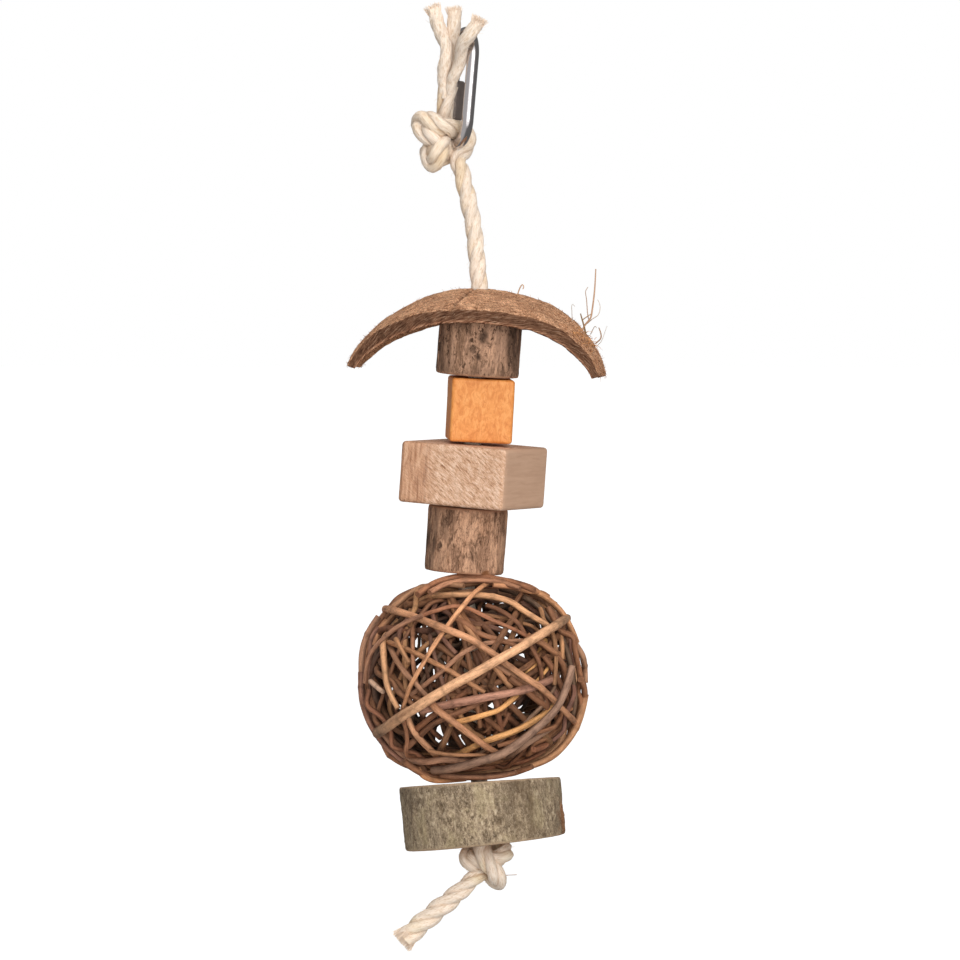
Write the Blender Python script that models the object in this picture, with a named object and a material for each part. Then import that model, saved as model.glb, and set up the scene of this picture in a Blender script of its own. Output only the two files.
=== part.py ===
"""Willow ball bird toy: a quick link, a length of sisal rope, and the husk, wood and
woven willow pieces threaded on it.  Lengths below are millimetres; meshes are metres.
The origin is the inside of the quick link's top bend, where the toy hangs.
+Z is up, +X is to the right of the front view, and the front faces -Y."""

import math

import bmesh
import bpy
import numpy as np
from mathutils import Matrix, Vector

# ---------------------------------------------------------------- driving dimensions
MM = 0.001
GAP = 0.35                      # clearance kept between touching pieces

WIRE_R = 2.0                    # quick link wire
LINK_LEN = 41.0                 # outer length of the link
LINK_LEG = 16.0                 # spacing of the two legs, centre to centre
LINK_LEAN = 4.8                 # degrees, top to the right
LINK_YAW = 21.0                 # degrees away from edge-on
NUT_AF = 6.8                    # sleeve nut across flats
NUT_LEN = 12.4
NUT_LOW = 0.6                   # nut's lower end above the lower bend's tangent point
NUT_GRIP = 1.6                  # thread of the lower stub inside the nut
NUT_BORE = 0.5                  # clearance round the wire inside the nut
LINK_MOUTH = 4.6                # opening in the leg that the nut closes

ROPE_R = 3.0
STRAND_R = 1.9                  # one of its three strands, laid open at the end
HOLE_R = 4.3                    # drilled holes in the beads

HUSK_A, HUSK_B = 44.8, 36.5     # ellipse of the husk's arch, half length and height
HUSK_DROP = 26.8                # crest to cut ends
HUSK_HALF = 23.0                # half depth at the crest
HUSK_HALF_END = 5.0             # half depth at the ends
HUSK_CROSS_R = 45.0             # radius across the arch
HUSK_T, HUSK_THIN = 4.4, 0.36     # shell thickness at the crest, share lost at the ends
HUSK_YAW, HUSK_ROLL = -10.0, 2.0

LOG1_R, LOG1_H = 13.8, 21.2
CUBE = 21.2
BLOCK, BLOCK_H = 37.8, 20.0
LOG2_R, LOG2_H = 13.2, 21.8
SLICE_R, SLICE_H = 27.0, 20.2

BALL_LEAN = -4.0                # degrees, top to the left
BALL_A, BALL_B, BALL_N = 38.7, 33.9, 2.35   # half width, half height, squareness
ROD_GAP = 0.45                  # clearance kept between crossing rods
STATION = 4.6                   # spacing of the stations along a rod
SAMPLES = 5                     # points tested between two stations
POLE_CLEAR = 11.0               # degrees round the ball's axis that rods keep clear of

# ---------------------------------------------------------------- front view layout
# The front view is laid out on a drawing grid of 3 units to the millimetre, whose
# point ZERO is the origin.  VIEW_TILT is how far that view looks down.
GRID = 3.0
ZERO = (465.9, 39.0)
VIEW_TILT = math.radians(1.2)


def at(u, w, y=0.0):
    """Point of the front layout, at depth y."""
    v = -(w - ZERO[1]) / GRID
    return np.array([(u - ZERO[0]) / GRID, y, (v - y * math.sin(VIEW_TILT)) / math.cos(VIEW_TILT)])


def basis(lean, pitch=0.0, yaw=0.0):
    """Turn about Z by yaw, then tip the top to the front by pitch and to the right by lean; degrees."""
    return (Matrix.Rotation(math.radians(lean), 3, "Y") @ Matrix.Rotation(math.radians(pitch), 3, "X")
            @ Matrix.Rotation(math.radians(yaw), 3, "Z"))


def lean_axis(lean, pitch=0.0):
    """Unit axis whose top leans to the right and to the front."""
    return np.array(basis(lean, pitch))[:, 2]


# rope centre line, from under the top knot to the stopper knot: layout point and depth
ROPE_PATH = [(460.8, 169, 0.0), (461.9, 174, 0.0), (469.5, 206, -0.4), (473.4, 226, -0.8), (476.6, 256, -1.3),
             (479.0, 285, -1.85), (480.0, 310, -1.85), (478.5, 350, -1.36), (474.2, 412, -0.63),
             (470.2, 475, 0.10), (466.0, 541, 0.87), (465.6, 575, 1.22), (469.0, 630, 0.93),
             (473.9, 700, 0.51), (479.4, 781, 0.03), (482.2, 812, -0.14), (485.2, 842, -0.32)]
SIDE_PIVOT = at(461.9, 174)           # side to side bend of the rope
FRONT_PIVOT = at(472.0, 219, -0.65)   # front to back bend of the rope

STACK_PITCH = 2.0                     # the upper beads tip to the front
LOW_PITCH = -1.0                      # ball and slice tip to the back
LOG1_C, LOG1_LEAN = at(479.3, 343.6, -1.43), 4.3
CUBE_C, CUBE_LEAN, CUBE_YAW, CUBE_HOLE = at(480.0, 409.4, -0.66), 3.0, 4.5, at(474.4, 409.4, -0.66)
BLOCK_C, BLOCK_LEAN, BLOCK_YAW, BLOCK_HOLE = at(473.2, 474.4, 0.10), 4.0, -22.0, at(470.3, 474.4, 0.10)
LOG2_C, LOG2_LEAN = at(466.0, 539.2, 0.85), 4.1
SLICE_C, SLICE_LEAN = at(482.2, 812.4, -0.14), -6.2
SLICE_TOP_LEAN, SLICE_TOP_PITCH = -3.8, -3.4   # its sawn top isn't square to its axis
BALL_C = at(472.7, 678.1, 0.62)
HUSK_C = at(479.2, 289.0, -1.87)
HUSK_UP = at(473.9, 229.0, -0.85) - HUSK_C     # way the husk slides up the rope

# Willow rods of the front half, outermost first.
# name: diameter, depth under the outer envelope, tail lengths that carry the rod on
# round the ball at each end, and the front layout points it runs through.
FRONT_RODS = [
    ("big_diagonal", 3.6, 0.1, 2, 2, [(377.5, 732.5), (400, 716.7), (423.3, 700.8), (450, 684.2), (470, 673.6),
                                        (491.7, 661.4), (516.7, 647.0), (541.7, 631.9), (568.3, 617.5)]),
    ("long_slant", 2.5, 0.8, 3, 0, [(386.7, 609.2), (408.3, 613.7), (425, 619.7), (450, 629.2), (473.3, 639.2),
                                     (493.3, 652.2), (508.3, 664.2), (526.7, 676.7), (543.3, 688.3), (558.3, 704), (578, 724.6)]),
    ("left_red", 1.8, 0.5, 3, 6, [(410, 619.7), (400, 625), (380, 640.8), (370, 655), (366.7, 668.3)]),
    ("red_thin", 1.6, 2.0, 4, 6, [(425, 613), (443.3, 607.5), (458.3, 604.4), (476.7, 610), (495, 617.5),
                                    (516.7, 625.8), (531.7, 632.5)]),
    ("top_sweep", 2.5, 1.2, 3, 5, [(391.7, 605.8), (416.7, 600), (436.7, 595.8), (466.7, 594.6), (491.7, 596.7),
                                     (510, 601.2), (526.7, 612.3), (545, 623.3)]),
    ("right_outline", 2.5, 0.7, 14, 2, [(552.5, 597), (567.8, 611), (573.0, 622), (575.5, 639), (582.5, 656),
                                        (586.3, 671), (587.6, 683)]),
    ("bottom_outline", 2.9, 0.9, 12, 16, [(466.7, 767.2), (500, 770.8), (522, 771.2), (536, 763.4), (558.3, 750.3),
                                          (574, 736.5), (581.2, 719), (584.6, 697)]),
    ("mauve_low", 3.0, 0.3, 6, 6, [(443.3, 768.3), (460, 765), (483.3, 758.3), (498.3, 753), (516.7, 741.7),
                                     (536.7, 725.8), (554, 709.3), (562.5, 694.3), (568.3, 678.3)]),
    ("mauve_level", 2.8, 1.9, 4, 1, [(433.3, 705.8), (466.7, 699.2), (500, 692.5), (530, 686.2), (546.7, 679.8),
                                      (566.7, 671.2), (580.2, 665.3)]),
    ("left_upright", 2.4, 1.0, 1, 2, [(389.2, 613.3), (384.2, 619.5), (383.3, 636.7), (385, 660), (388.6, 686.7),
                                       (398.3, 706.7)]),
    ("tan_slant", 1.7, 1.2, 0, 4, [(497.5, 577), (478.3, 588.3), (465, 601.7), (455, 614.2), (445, 627.7),
                                     (433.3, 645), (421.7, 664), (409, 686.7), (404.6, 700)]),
    ("grey_low", 2.3, 2.0, 8, 6, [(483, 763), (500, 757), (526.7, 741.9), (565, 718.3)]),
    ("golden_low", 2.6, 3.0, 6, 4, [(440, 754.2), (466.7, 746.6), (486.7, 739.3), (510, 731), (527, 723.2), (546.7, 710.8)]),
    ("golden_short", 2.2, 4.4, 6, 4, [(461.7, 719.2), (478.3, 714.9), (498.3, 708.1), (508.3, 700.5)]),
    ("top_left_outline", 2.4, 0.9, 12, 12, [(390.5, 606.5), (403.3, 601), (416.7, 589), (430, 580.6), (443.3, 576.8)]),
    ("left_outline", 2.6, 0.6, 22, 8, [(360.3, 686.7), (361.2, 706), (370.4, 726), (386.7, 747.6), (406.7, 762.3),
                                        (430, 765.6), (453.3, 769)]),
    ("lower_dip", 2.6, 1.8, 5, 4, [(436.7, 706.7), (456.7, 721.7), (480, 739.7), (496.7, 750.8)]),
    ("lower_left", 2.4, 1.6, 4, 5, [(403.3, 720), (410, 731.7), (425, 745.8), (445, 760.9), (458.3, 764)]),
    ("top_brown", 2.8, 1.3, 8, 4, [(452, 586.7), (478, 580.4), (500, 580), (527, 585), (545, 592.4)]),
    ("right_brown", 2.2, 1.2, 6, 4, [(538.3, 640), (555, 651.2), (571.7, 660.4), (580, 668)]),
    ("left_cross", 2.1, 4.2, 8, 6, [(390, 646.7), (400, 664.4), (411.7, 677.3), (423.3, 690), (433.3, 701.7)]),
    ("split_thin", 1.7, 4.8, 6, 6, [(553.3, 656.7), (548, 667.5), (538.8, 678)]),
    ("split_wide", 2.8, 5.2, 6, 8, [(543.3, 646.7), (535, 662.5), (525.5, 676)]),
    ("inner_rise", 1.7, 4.4, 6, 6, [(420, 686.7), (443.3, 668.3), (463.3, 651), (475, 644.2), (485, 640.8),
                                      (506.7, 638.3), (525, 636.7)]),
    ("inner_dip", 2.0, 4.6, 6, 10, [(501.7, 666.7), (525, 683.3), (541.7, 699), (553.3, 710)]),
    ("inner_left_b", 1.8, 4.8, 6, 8, [(412.5, 621.7), (412, 653.3), (413.3, 673.3)]),
    ("inner_left_a", 1.9, 5.4, 6, 8, [(407.4, 623.3), (405.2, 650), (405.8, 669)]),
]

# Rods of the back and sides follow a rule: arcs of circles whose axes step round the ball.
BACK_RODS = 15

COLOURS = {"steel": (0.55, 0.55, 0.56), "rope": (0.86, 0.74, 0.60), "husk": (0.36, 0.19, 0.11),
           "bark": (0.29, 0.19, 0.12), "orange": (0.86, 0.40, 0.13), "block": (0.60, 0.39, 0.25),
           "slice": (0.28, 0.23, 0.16), "willow": (0.30, 0.17, 0.10)}

# ---------------------------------------------------------------- helpers
for old in list(bpy.data.objects):
    bpy.data.objects.remove(old, do_unlink=True)


def finish_of(name, key, rough=0.7, metal=0.0):
    mat = bpy.data.materials.new(name + "_finish")
    mat.use_nodes = True
    shader = mat.node_tree.nodes["Principled BSDF"]
    shader.inputs["Base Color"].default_value = (*COLOURS[key], 1.0)
    shader.inputs["Roughness"].default_value = rough
    shader.inputs["Metallic"].default_value = metal
    mat.diffuse_color = (*COLOURS[key], 1.0)
    return mat


def add(name, data, pivot, key, rough=0.7, metal=0.0):
    """Object whose origin is its joint's pivot; data holds points relative to it."""
    obj = bpy.data.objects.new(name, data)
    bpy.context.scene.collection.objects.link(obj)
    obj.location = Vector([float(c) * MM for c in pivot])
    data.materials.append(finish_of(name, key, rough, metal))
    return obj


def smooth(points, step):
    """Catmull-Rom curve through the points, resampled at even steps."""
    p = np.asarray(points, float)
    ext = np.vstack([2 * p[0] - p[1], p, 2 * p[-1] - p[-2]])
    out = []
    for i in range(1, len(ext) - 2):
        a, b, c, d = ext[i - 1], ext[i], ext[i + 1], ext[i + 2]
        for t in np.linspace(0.0, 1.0, 24, endpoint=False):
            out.append(0.5 * (2 * b + (c - a) * t + (2 * a - 5 * b + 4 * c - d) * t * t
                              + (3 * b - a - 3 * c + d) * t ** 3))
    out.append(p[-1])
    return evenly(np.array(out), step)


def evenly(pts, step):
    seg = np.linalg.norm(np.diff(pts, axis=0), axis=1)
    s = np.concatenate([[0.0], np.cumsum(seg)])
    n = max(2, int(round(s[-1] / step)) + 1)
    q = np.linspace(0.0, s[-1], n)
    return np.stack([np.interp(q, s, pts[:, k]) for k in range(pts.shape[1])], axis=1)


def tube(name, pts, radius, sides, pivot, key, rough=0.8, metal=0.0, taper=None):
    """Round bar along a run of points: a curve with a bevel and filled caps."""
    cu = bpy.data.curves.new(name, "CURVE")
    cu.dimensions = "3D"
    cu.bevel_depth = radius * MM
    cu.bevel_resolution = (sides - 4) // 2
    cu.use_fill_caps = True
    cu.render_resolution_u = 0
    sp = cu.splines.new("POLY")
    sp.points.add(len(pts) - 1)
    for i, p in enumerate(pts):
        q = (np.asarray(p) - pivot) * MM
        sp.points[i].co = (float(q[0]), float(q[1]), float(q[2]), 1.0)
        sp.points[i].radius = 1.0 if taper is None else float(taper[i])
    return add(name, cu, pivot, key, rough, metal)


def solid_tube(pts, radius, sides=12):
    """Closed mesh bar along points, for cutting channels."""
    bm = bmesh.new()
    rings = []
    side = np.array([1.0, 0.0, 0.0])
    for i, p in enumerate(pts):
        t = np.asarray(pts[min(i + 1, len(pts) - 1)]) - np.asarray(pts[max(i - 1, 0)])
        t = t / np.linalg.norm(t)
        side = side - t * side.dot(t)
        side = side / np.linalg.norm(side)
        other = np.cross(t, side)
        ring = []
        for k in range(sides):
            a = 2 * math.pi * k / sides
            q = (np.asarray(p) + radius * (math.cos(a) * side + math.sin(a) * other)) * MM
            ring.append(bm.verts.new(q))
        rings.append(ring)
    for r0, r1 in zip(rings, rings[1:]):
        for k in range(sides):
            bm.faces.new((r0[k], r0[(k + 1) % sides], r1[(k + 1) % sides], r1[k]))
    bm.faces.new(list(reversed(rings[0])))
    bm.faces.new(rings[-1])
    bmesh.ops.recalc_face_normals(bm, faces=bm.faces)
    me = bpy.data.meshes.new("cutter")
    bm.to_mesh(me)
    bm.free()
    return me


def cutter(name, me):
    obj = bpy.data.objects.new(name, me)
    bpy.context.scene.collection.objects.link(obj)
    obj.hide_render = True
    obj.display_type = "WIRE"
    return obj


def cut(obj, tool):
    mod = obj.modifiers.new("hole", "BOOLEAN")
    mod.operation = "DIFFERENCE"
    mod.solver = "EXACT"
    mod.object = tool


def place(obj, lean, pitch=0.0, yaw=0.0):
    obj.rotation_euler = basis(lean, pitch, yaw).to_euler()


def shade(me, angle=35):
    me.shade_smooth()
    me.set_sharp_from_angle(angle=math.radians(angle))


# ---------------------------------------------------------------- quick link
def link_frame():
    lean = Matrix.Rotation(math.radians(LINK_LEAN), 3, "Y")
    yaw = Matrix.Rotation(math.radians(-90.0 + LINK_YAW), 3, "Z")
    return np.array(lean @ yaw)       # local x runs from the far leg to the near leg


LINK_M = link_frame()
LINK_HALF = LINK_LEN / 2 - WIRE_R     # centre to the wire's centre at each end
LINK_MID = -LINK_M[:, 2] * (LINK_HALF - WIRE_R)
LINK_STRAIGHT = LINK_HALF - LINK_LEG / 2


def link_point(x, z):
    return LINK_MID + LINK_M @ np.array([x, 0.0, z])


def link_wire_points():
    """From above the mouth in the far leg, over the top, down the near leg, round to the mouth's lower side."""
    r = LINK_LEG / 2
    low = -LINK_STRAIGHT + NUT_LOW + NUT_GRIP
    pts = [(-r, low + LINK_MOUTH), (-r, LINK_STRAIGHT * 0.5), (-r, LINK_STRAIGHT)]
    for k in range(1, 12):
        a = math.pi * (1 - k / 12)
        pts.append((r * math.cos(a), LINK_STRAIGHT + r * math.sin(a)))
    pts += [(r, LINK_STRAIGHT), (r, 0.0), (r, -LINK_STRAIGHT)]
    for k in range(1, 12):
        a = -math.pi * k / 12
        pts.append((r * math.cos(a), -LINK_STRAIGHT + r * math.sin(a)))
    pts += [(-r, -LINK_STRAIGHT), (-r, low)]
    return [link_point(*p) for p in pts]


ORIGIN = np.zeros(3)
tube("quick_link_wire", link_wire_points(), WIRE_R, 10, ORIGIN, "steel", 0.2, 1.0)

nut_low = -LINK_STRAIGHT + NUT_LOW
nut_mid = link_point(-LINK_LEG / 2, nut_low + NUT_LEN / 2)
bm = bmesh.new()
bmesh.ops.create_cone(bm, cap_ends=True, segments=6, radius1=NUT_AF / math.sqrt(3) * MM,
                      radius2=NUT_AF / math.sqrt(3) * MM, depth=NUT_LEN * MM)
me = bpy.data.meshes.new("quick_link_nut")
bm.to_mesh(me)
bm.free()
nut = add("quick_link_nut", me, nut_mid, "steel", 0.3, 1.0)
nut.rotation_euler = Matrix(LINK_M.tolist()).to_euler()
bev = nut.modifiers.new("edge", "BEVEL")
bev.width = 0.5 * MM
bev.segments = 1
bore = cutter("nut_bore", solid_tube([link_point(-LINK_LEG / 2, nut_low - 2), link_point(-LINK_LEG / 2, nut_low + NUT_LEN + 2)],
                                     WIRE_R + NUT_BORE, 16))
cut(nut, bore)

# ---------------------------------------------------------------- rope
ROPE = smooth([at(*p) for p in ROPE_PATH], 2.0)


def rope_between(z_hi, z_lo, step):
    part = ROPE[(ROPE[:, 2] <= z_hi) & (ROPE[:, 2] >= z_lo)]
    return evenly(part, step)


def round_top(pts, pivot):
    """Rope run whose upper end is a rounded cap about the pivot; returns points and radius factors."""
    t = pts[0] - pts[1]
    t = t / np.linalg.norm(t)
    caps, fac = [], []
    for a in (84, 60, 32):
        caps.append(pivot + t * ROPE_R * math.sin(math.radians(a)))
        fac.append(math.cos(math.radians(a)))
    body = [p for p in pts if (p - pivot).dot(t) < -0.4]
    return np.array(caps + [pivot] + body), np.array(fac + [1.0] * (len(body) + 1))


def ball_lump(name, centre, axes, lean, key, cuts, humps):
    """Rounded knot body with soft humps where strands cross."""
    bm = bmesh.new()
    bmesh.ops.create_uvsphere(bm, u_segments=18, v_segments=11, radius=1.0)
    for v in bm.verts:
        d = v.co.normalized()
        k = 1.0 + 0.05 * math.sin(humps * math.atan2(d.y, d.x) + 2.0 * d.z)
        v.co = Vector((d.x * axes[0] * k, d.y * axes[1] * k, d.z * axes[2])) * MM
    me = bpy.data.meshes.new(name)
    bm.to_mesh(me)
    bm.free()
    shade(me, 80)
    obj = add(name, me, centre, key, 0.9)
    obj.rotation_euler = (0.0, math.radians(lean), 0.0)
    for tool in cuts:
        cut(obj, tool)
    return obj


wire_channel = cutter("wire_channel", solid_tube(link_wire_points(), WIRE_R + GAP, 14))
ball_lump("top_knot", at(443.5, 141), (10.0, 6.6, 9.0), 0.0, "rope", [wire_channel], 3)

tail_pts = smooth([at(444.5, 111.5, -0.4), at(447.5, 92, -0.8), at(449.8, 76, -1.0), at(451.0, 63.5, -1.2)], 4.0)
tube("rope_top_tail", tail_pts, 3.8, 10, ORIGIN, "rope", taper=np.linspace(0.9, 1.0, len(tail_pts)))
STRANDS = {
    "rope_strand_left": [at(445.2, 59.5, -2.6), at(443.2, 42, -3.2), at(439.0, 22, -2.6), at(432.5, 4.0, -2.0)],
    "rope_strand_middle": [at(452.4, 59.5, 1.6), at(453.8, 50, 0.0), at(454.6, 42, -0.9), at(454.8, 24, -1.2), at(454.6, 8.0, -1.2)],
    "rope_strand_right": [at(457.4, 58.0, -4.9), at(463.0, 47.5, -10.4), at(472.0, 33.5, -12.2), at(481.0, 18, -12.6)],
}
for name, pts in STRANDS.items():
    tube(name, smooth(pts, 3.0), STRAND_R, 8, ORIGIN, "rope")

upper, fac = round_top(rope_between(SIDE_PIVOT[2] + 0.5, FRONT_PIVOT[2] + ROPE_R + 0.4, 2.6), SIDE_PIVOT)
tube("rope_upper", upper, ROPE_R, 10, SIDE_PIVOT, "rope", taper=fac)
SLICE_AXIS = lean_axis(SLICE_LEAN, LOW_PITCH)
slice_low = SLICE_C - SLICE_AXIS * SLICE_H / 2
core, fac = round_top(rope_between(FRONT_PIVOT[2] + 0.5, slice_low[2] - 0.1, 7.0), FRONT_PIVOT)
tube("rope_core", core, ROPE_R, 8, FRONT_PIVOT, "rope", taper=fac)

KNOT2_AXES = (8.6, 7.6, 7.0)
knot2 = slice_low - SLICE_AXIS * (KNOT2_AXES[2] + GAP + 0.2)
ball_lump("bottom_knot", knot2, KNOT2_AXES, SLICE_LEAN, "rope", [], 3)
for v in (bpy.data.objects["bottom_knot"],):
    # the knot turns with the rope, so its origin sits on the rope's front to back pivot
    shift = Matrix.Translation(v.location - Vector((FRONT_PIVOT * MM).tolist()))
    v.data.transform(shift @ v.rotation_euler.to_matrix().to_4x4())
    v.rotation_euler = (0.0, 0.0, 0.0)
    v.location = Vector((FRONT_PIVOT * MM).tolist())
tail2 = smooth([at(467.8, 881.6, -1.0), at(449, 897.5, -1.6), at(426, 917, -2.0), at(403.5, 938.5, -2.2)], 5.0)
tube("bottom_tail", tail2, 3.3, 10, FRONT_PIVOT, "rope")

# ---------------------------------------------------------------- husk arch
HUSK_BASIS = basis(HUSK_ROLL, STACK_PITCH, HUSK_YAW)


def husk_arch_drop(x):
    return HUSK_B * (1.0 - math.sqrt(max(0.0, 1.0 - (x / HUSK_A) ** 2)))


def husk_end():
    return HUSK_A * math.sqrt(1.0 - (1.0 - HUSK_DROP / HUSK_B) ** 2)


bm = bmesh.new()
NU, NV = 26, 6
grid = []
for i in range(NU + 1):
    a = math.asin(husk_end() / HUSK_A) * (2.0 * i / NU - 1.0)
    x = HUSK_A * math.sin(a)
    half = HUSK_HALF + (HUSK_HALF_END - HUSK_HALF) * (abs(x) / HUSK_A) ** 2.2
    row = []
    for j in range(NV + 1):
        y = half * (2.0 * j / NV - 1.0)
        # the arch is carried inwards along its own normal away from the middle line
        sink = y * y / (2.0 * HUSK_CROSS_R)
        n = Vector((x / HUSK_A ** 2, 0.0, math.cos(a) / HUSK_B)).normalized()
        p = Vector((x, y, -husk_arch_drop(x))) - n * sink
        row.append(bm.verts.new(p * MM))
    grid.append(row)
for i in range(NU):
    for j in range(NV):
        bm.faces.new((grid[i][j], grid[i + 1][j], grid[i + 1][j + 1], grid[i][j + 1]))
me = bpy.data.meshes.new("husk_arch")
bm.to_mesh(me)
bm.free()
husk = add("husk_arch", me, HUSK_C, "husk", 0.95)
husk.rotation_euler = HUSK_BASIS.to_euler()
shell = husk.modifiers.new("shell", "SOLIDIFY")
shell.thickness = HUSK_T * MM
thick = husk.vertex_groups.new(name="thick")
for i in range(NU + 1):
    thick.add(list(range(i * (NV + 1), (i + 1) * (NV + 1))), 1.0 - HUSK_THIN * abs(2.0 * i / NU - 1.0) ** 3, "REPLACE")
shell.vertex_group = "thick"
shell.offset = -1.0
shell.use_even_offset = True
husk_slide = HUSK_UP / np.linalg.norm(HUSK_UP)
cut(husk, cutter("husk_hole", solid_tube([HUSK_C - husk_slide * 12, HUSK_C + husk_slide * 6], HOLE_R, 16)))


# ---------------------------------------------------------------- turned beads
def ring_bead(name, centre, lean, pitch, radius, height, key, sides, lumps, top_tilt=(0.0, 0.0), bore=HOLE_R):
    """Bark-covered branch piece: outer wall with slight lumps, chamfered rims and a drilled hole."""
    bm = bmesh.new()
    loops = []
    prof = [(bore, -height / 2), (radius - 0.5, -height / 2), (radius, -height / 2 + 0.6),
            (radius, height / 2 - 0.6), (radius - 0.5, height / 2), (bore, height / 2)]
    for r, z in prof:
        loop = []
        for k in range(sides):
            a = 2 * math.pi * k / sides
            wob = 1.0
            if r > bore + 0.1:
                wob = 1.0 + sum(amp * math.sin(n * a + ph) for n, amp, ph in lumps)
            x, y = r * wob * math.cos(a), r * wob * math.sin(a)
            tilt = 0.0
            if z > 0:
                tilt = x * math.tan(math.radians(top_tilt[0])) - y * math.tan(math.radians(top_tilt[1]))
            loop.append(bm.verts.new(Vector((x, y, z - tilt)) * MM))
        loops.append(loop)
    for l0, l1 in zip(loops, loops[1:] + loops[:1]):
        for k in range(sides):
            bm.faces.new((l0[k], l0[(k + 1) % sides], l1[(k + 1) % sides], l1[k]))
    bmesh.ops.recalc_face_normals(bm, faces=bm.faces)
    me = bpy.data.meshes.new(name)
    bm.to_mesh(me)
    bm.free()
    shade(me)
    obj = add(name, me, centre, key, 0.85)
    place(obj, lean, pitch)
    return obj


ring_bead("log_upper", LOG1_C, LOG1_LEAN, STACK_PITCH, LOG1_R, LOG1_H, "bark", 24, [(2, 0.012, 0.4), (5, 0.008, 1.0)])
ring_bead("log_lower", LOG2_C, LOG2_LEAN, STACK_PITCH, LOG2_R, LOG2_H, "bark", 24, [(2, 0.010, 1.9), (5, 0.008, 0.2)])
ring_bead("bark_slice", SLICE_C, SLICE_LEAN, LOW_PITCH, SLICE_R, SLICE_H, "slice", 32, [(2, 0.008, 0.0), (3, 0.006, 1.0)],
          top_tilt=(SLICE_TOP_LEAN - SLICE_LEAN, SLICE_TOP_PITCH - LOW_PITCH))


def square_bead(name, centre, hole, lean, yaw, width, height, edge, key):
    """Sawn block with eased edges; its origin is the drilled hole's axis."""
    bm = bmesh.new()
    bmesh.ops.create_cube(bm, size=1.0)
    rot = basis(0.0, 0.0, yaw)
    off = basis(lean, STACK_PITCH).inverted() @ Vector((centre - hole).tolist())
    for v in bm.verts:
        v.co = (rot @ Vector((v.co.x * width, v.co.y * width, v.co.z * height)) + off) * MM
    me = bpy.data.meshes.new(name)
    bm.to_mesh(me)
    bm.free()
    obj = add(name, me, hole, key, 0.75)
    place(obj, lean, STACK_PITCH)
    bev = obj.modifiers.new("edge", "BEVEL")
    bev.width = edge * MM
    bev.segments = 2
    axis = lean_axis(lean, STACK_PITCH)
    cut(obj, cutter(name + "_hole", solid_tube([hole - axis * height, hole + axis * height], HOLE_R, 16)))
    return obj


square_bead("orange_cube", CUBE_C, CUBE_HOLE, CUBE_LEAN, CUBE_YAW, CUBE, CUBE, 0.9, "orange")
square_bead("wood_block", BLOCK_C, BLOCK_HOLE, BLOCK_LEAN, BLOCK_YAW, BLOCK, BLOCK_H, 0.7, "block")

# ---------------------------------------------------------------- willow ball
BALL_M = np.array(basis(BALL_LEAN, LOW_PITCH))
BALL_O = BALL_C


def envelope(d):
    """Outer radius of the ball along unit directions."""
    s = np.hypot(d[:, 0], d[:, 1])
    return 1.0 / ((s / BALL_A) ** BALL_N + (np.abs(d[:, 2]) / BALL_B) ** BALL_N) ** (1.0 / BALL_N)


def front_directions(layout, depth):
    """Directions from the ball's centre to layout points lying depth under the envelope, on the front."""
    lo, hi = np.full(len(layout), -60.0), np.full(len(layout), BALL_O[1])

    def local(y):
        v = -(layout[:, 1] - ZERO[1]) / GRID
        z = (v - y * math.sin(VIEW_TILT)) / math.cos(VIEW_TILT)
        return (np.stack([(layout[:, 0] - ZERO[0]) / GRID, y, z], axis=1) - BALL_O) @ BALL_M

    for _ in range(40):
        mid = (lo + hi) / 2
        p = local(mid)
        n = np.linalg.norm(p, axis=1)
        out = n > envelope(p / n[:, None]) - depth
        lo, hi = np.where(out, mid, lo), np.where(out, hi, mid)
    p = local((lo + hi) / 2)
    return p / np.linalg.norm(p, axis=1)[:, None]


def keep_off_axis(d, reach, front):
    """Bend directions round the ball's axis, on one side of it, so that the rope's channel stays clear."""
    need = math.sin(math.radians(reach))
    x, y = d[:, 0], d[:, 1]
    bow = np.sqrt(np.maximum(need * need - x * x, 0.0))
    polar = np.abs(d[:, 2]) > math.cos(math.radians(2.6 * reach))
    y = np.where(polar & (np.abs(x) < need), np.minimum(y, -bow) if front else np.maximum(y, bow), y)
    out = np.stack([x, y, np.sign(d[:, 2]) * np.sqrt(np.maximum(1.0 - x * x - y * y, 0.0))], axis=1)
    out = np.where(polar[:, None], out, d)
    return out / np.linalg.norm(out, axis=1)[:, None]


def carry_on(d0, d1, length, step):
    """Great-circle tail that goes on past d1, coming from d0."""
    t = d1 - d0
    t = t - d1 * t.dot(d1)
    t = t / np.linalg.norm(t)
    n = int(round(length / step))
    if n == 0:
        return np.zeros((0, 3))
    ang = np.arange(1, n + 1) * step / 35.0
    return np.cos(ang)[:, None] * d1 + np.sin(ang)[:, None] * t


def eased(a, k):
    """Springy rod: values drawn towards the mean of their neighbours."""
    out = a.copy()
    out[1:-1] += k * (0.5 * (a[:-2] + a[2:]) - a[1:-1])
    out[0] += 0.5 * k * (a[1] - a[0])
    out[-1] += 0.5 * k * (a[-2] - a[-1])
    return out


def chord_samples(d, first):
    """Points along the straight runs between a rod's stations: directions, stations and their weights."""
    out_d, k0, k1, w0, w1 = [], [], [], [], []
    for k in range(len(d) - 1):
        for f in np.arange(SAMPLES + (k == len(d) - 2)) / SAMPLES:
            m = (1 - f) * d[k] + f * d[k + 1]
            m = m / np.linalg.norm(m)
            out_d.append(m)
            k0.append(first + k)
            k1.append(first + k + 1)
            w0.append((1 - f) * d[k].dot(m))
            w1.append(f * d[k + 1].dot(m))
    return np.array(out_d), np.array(k0), np.array(k1), np.array(w0), np.array(w1)


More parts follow.
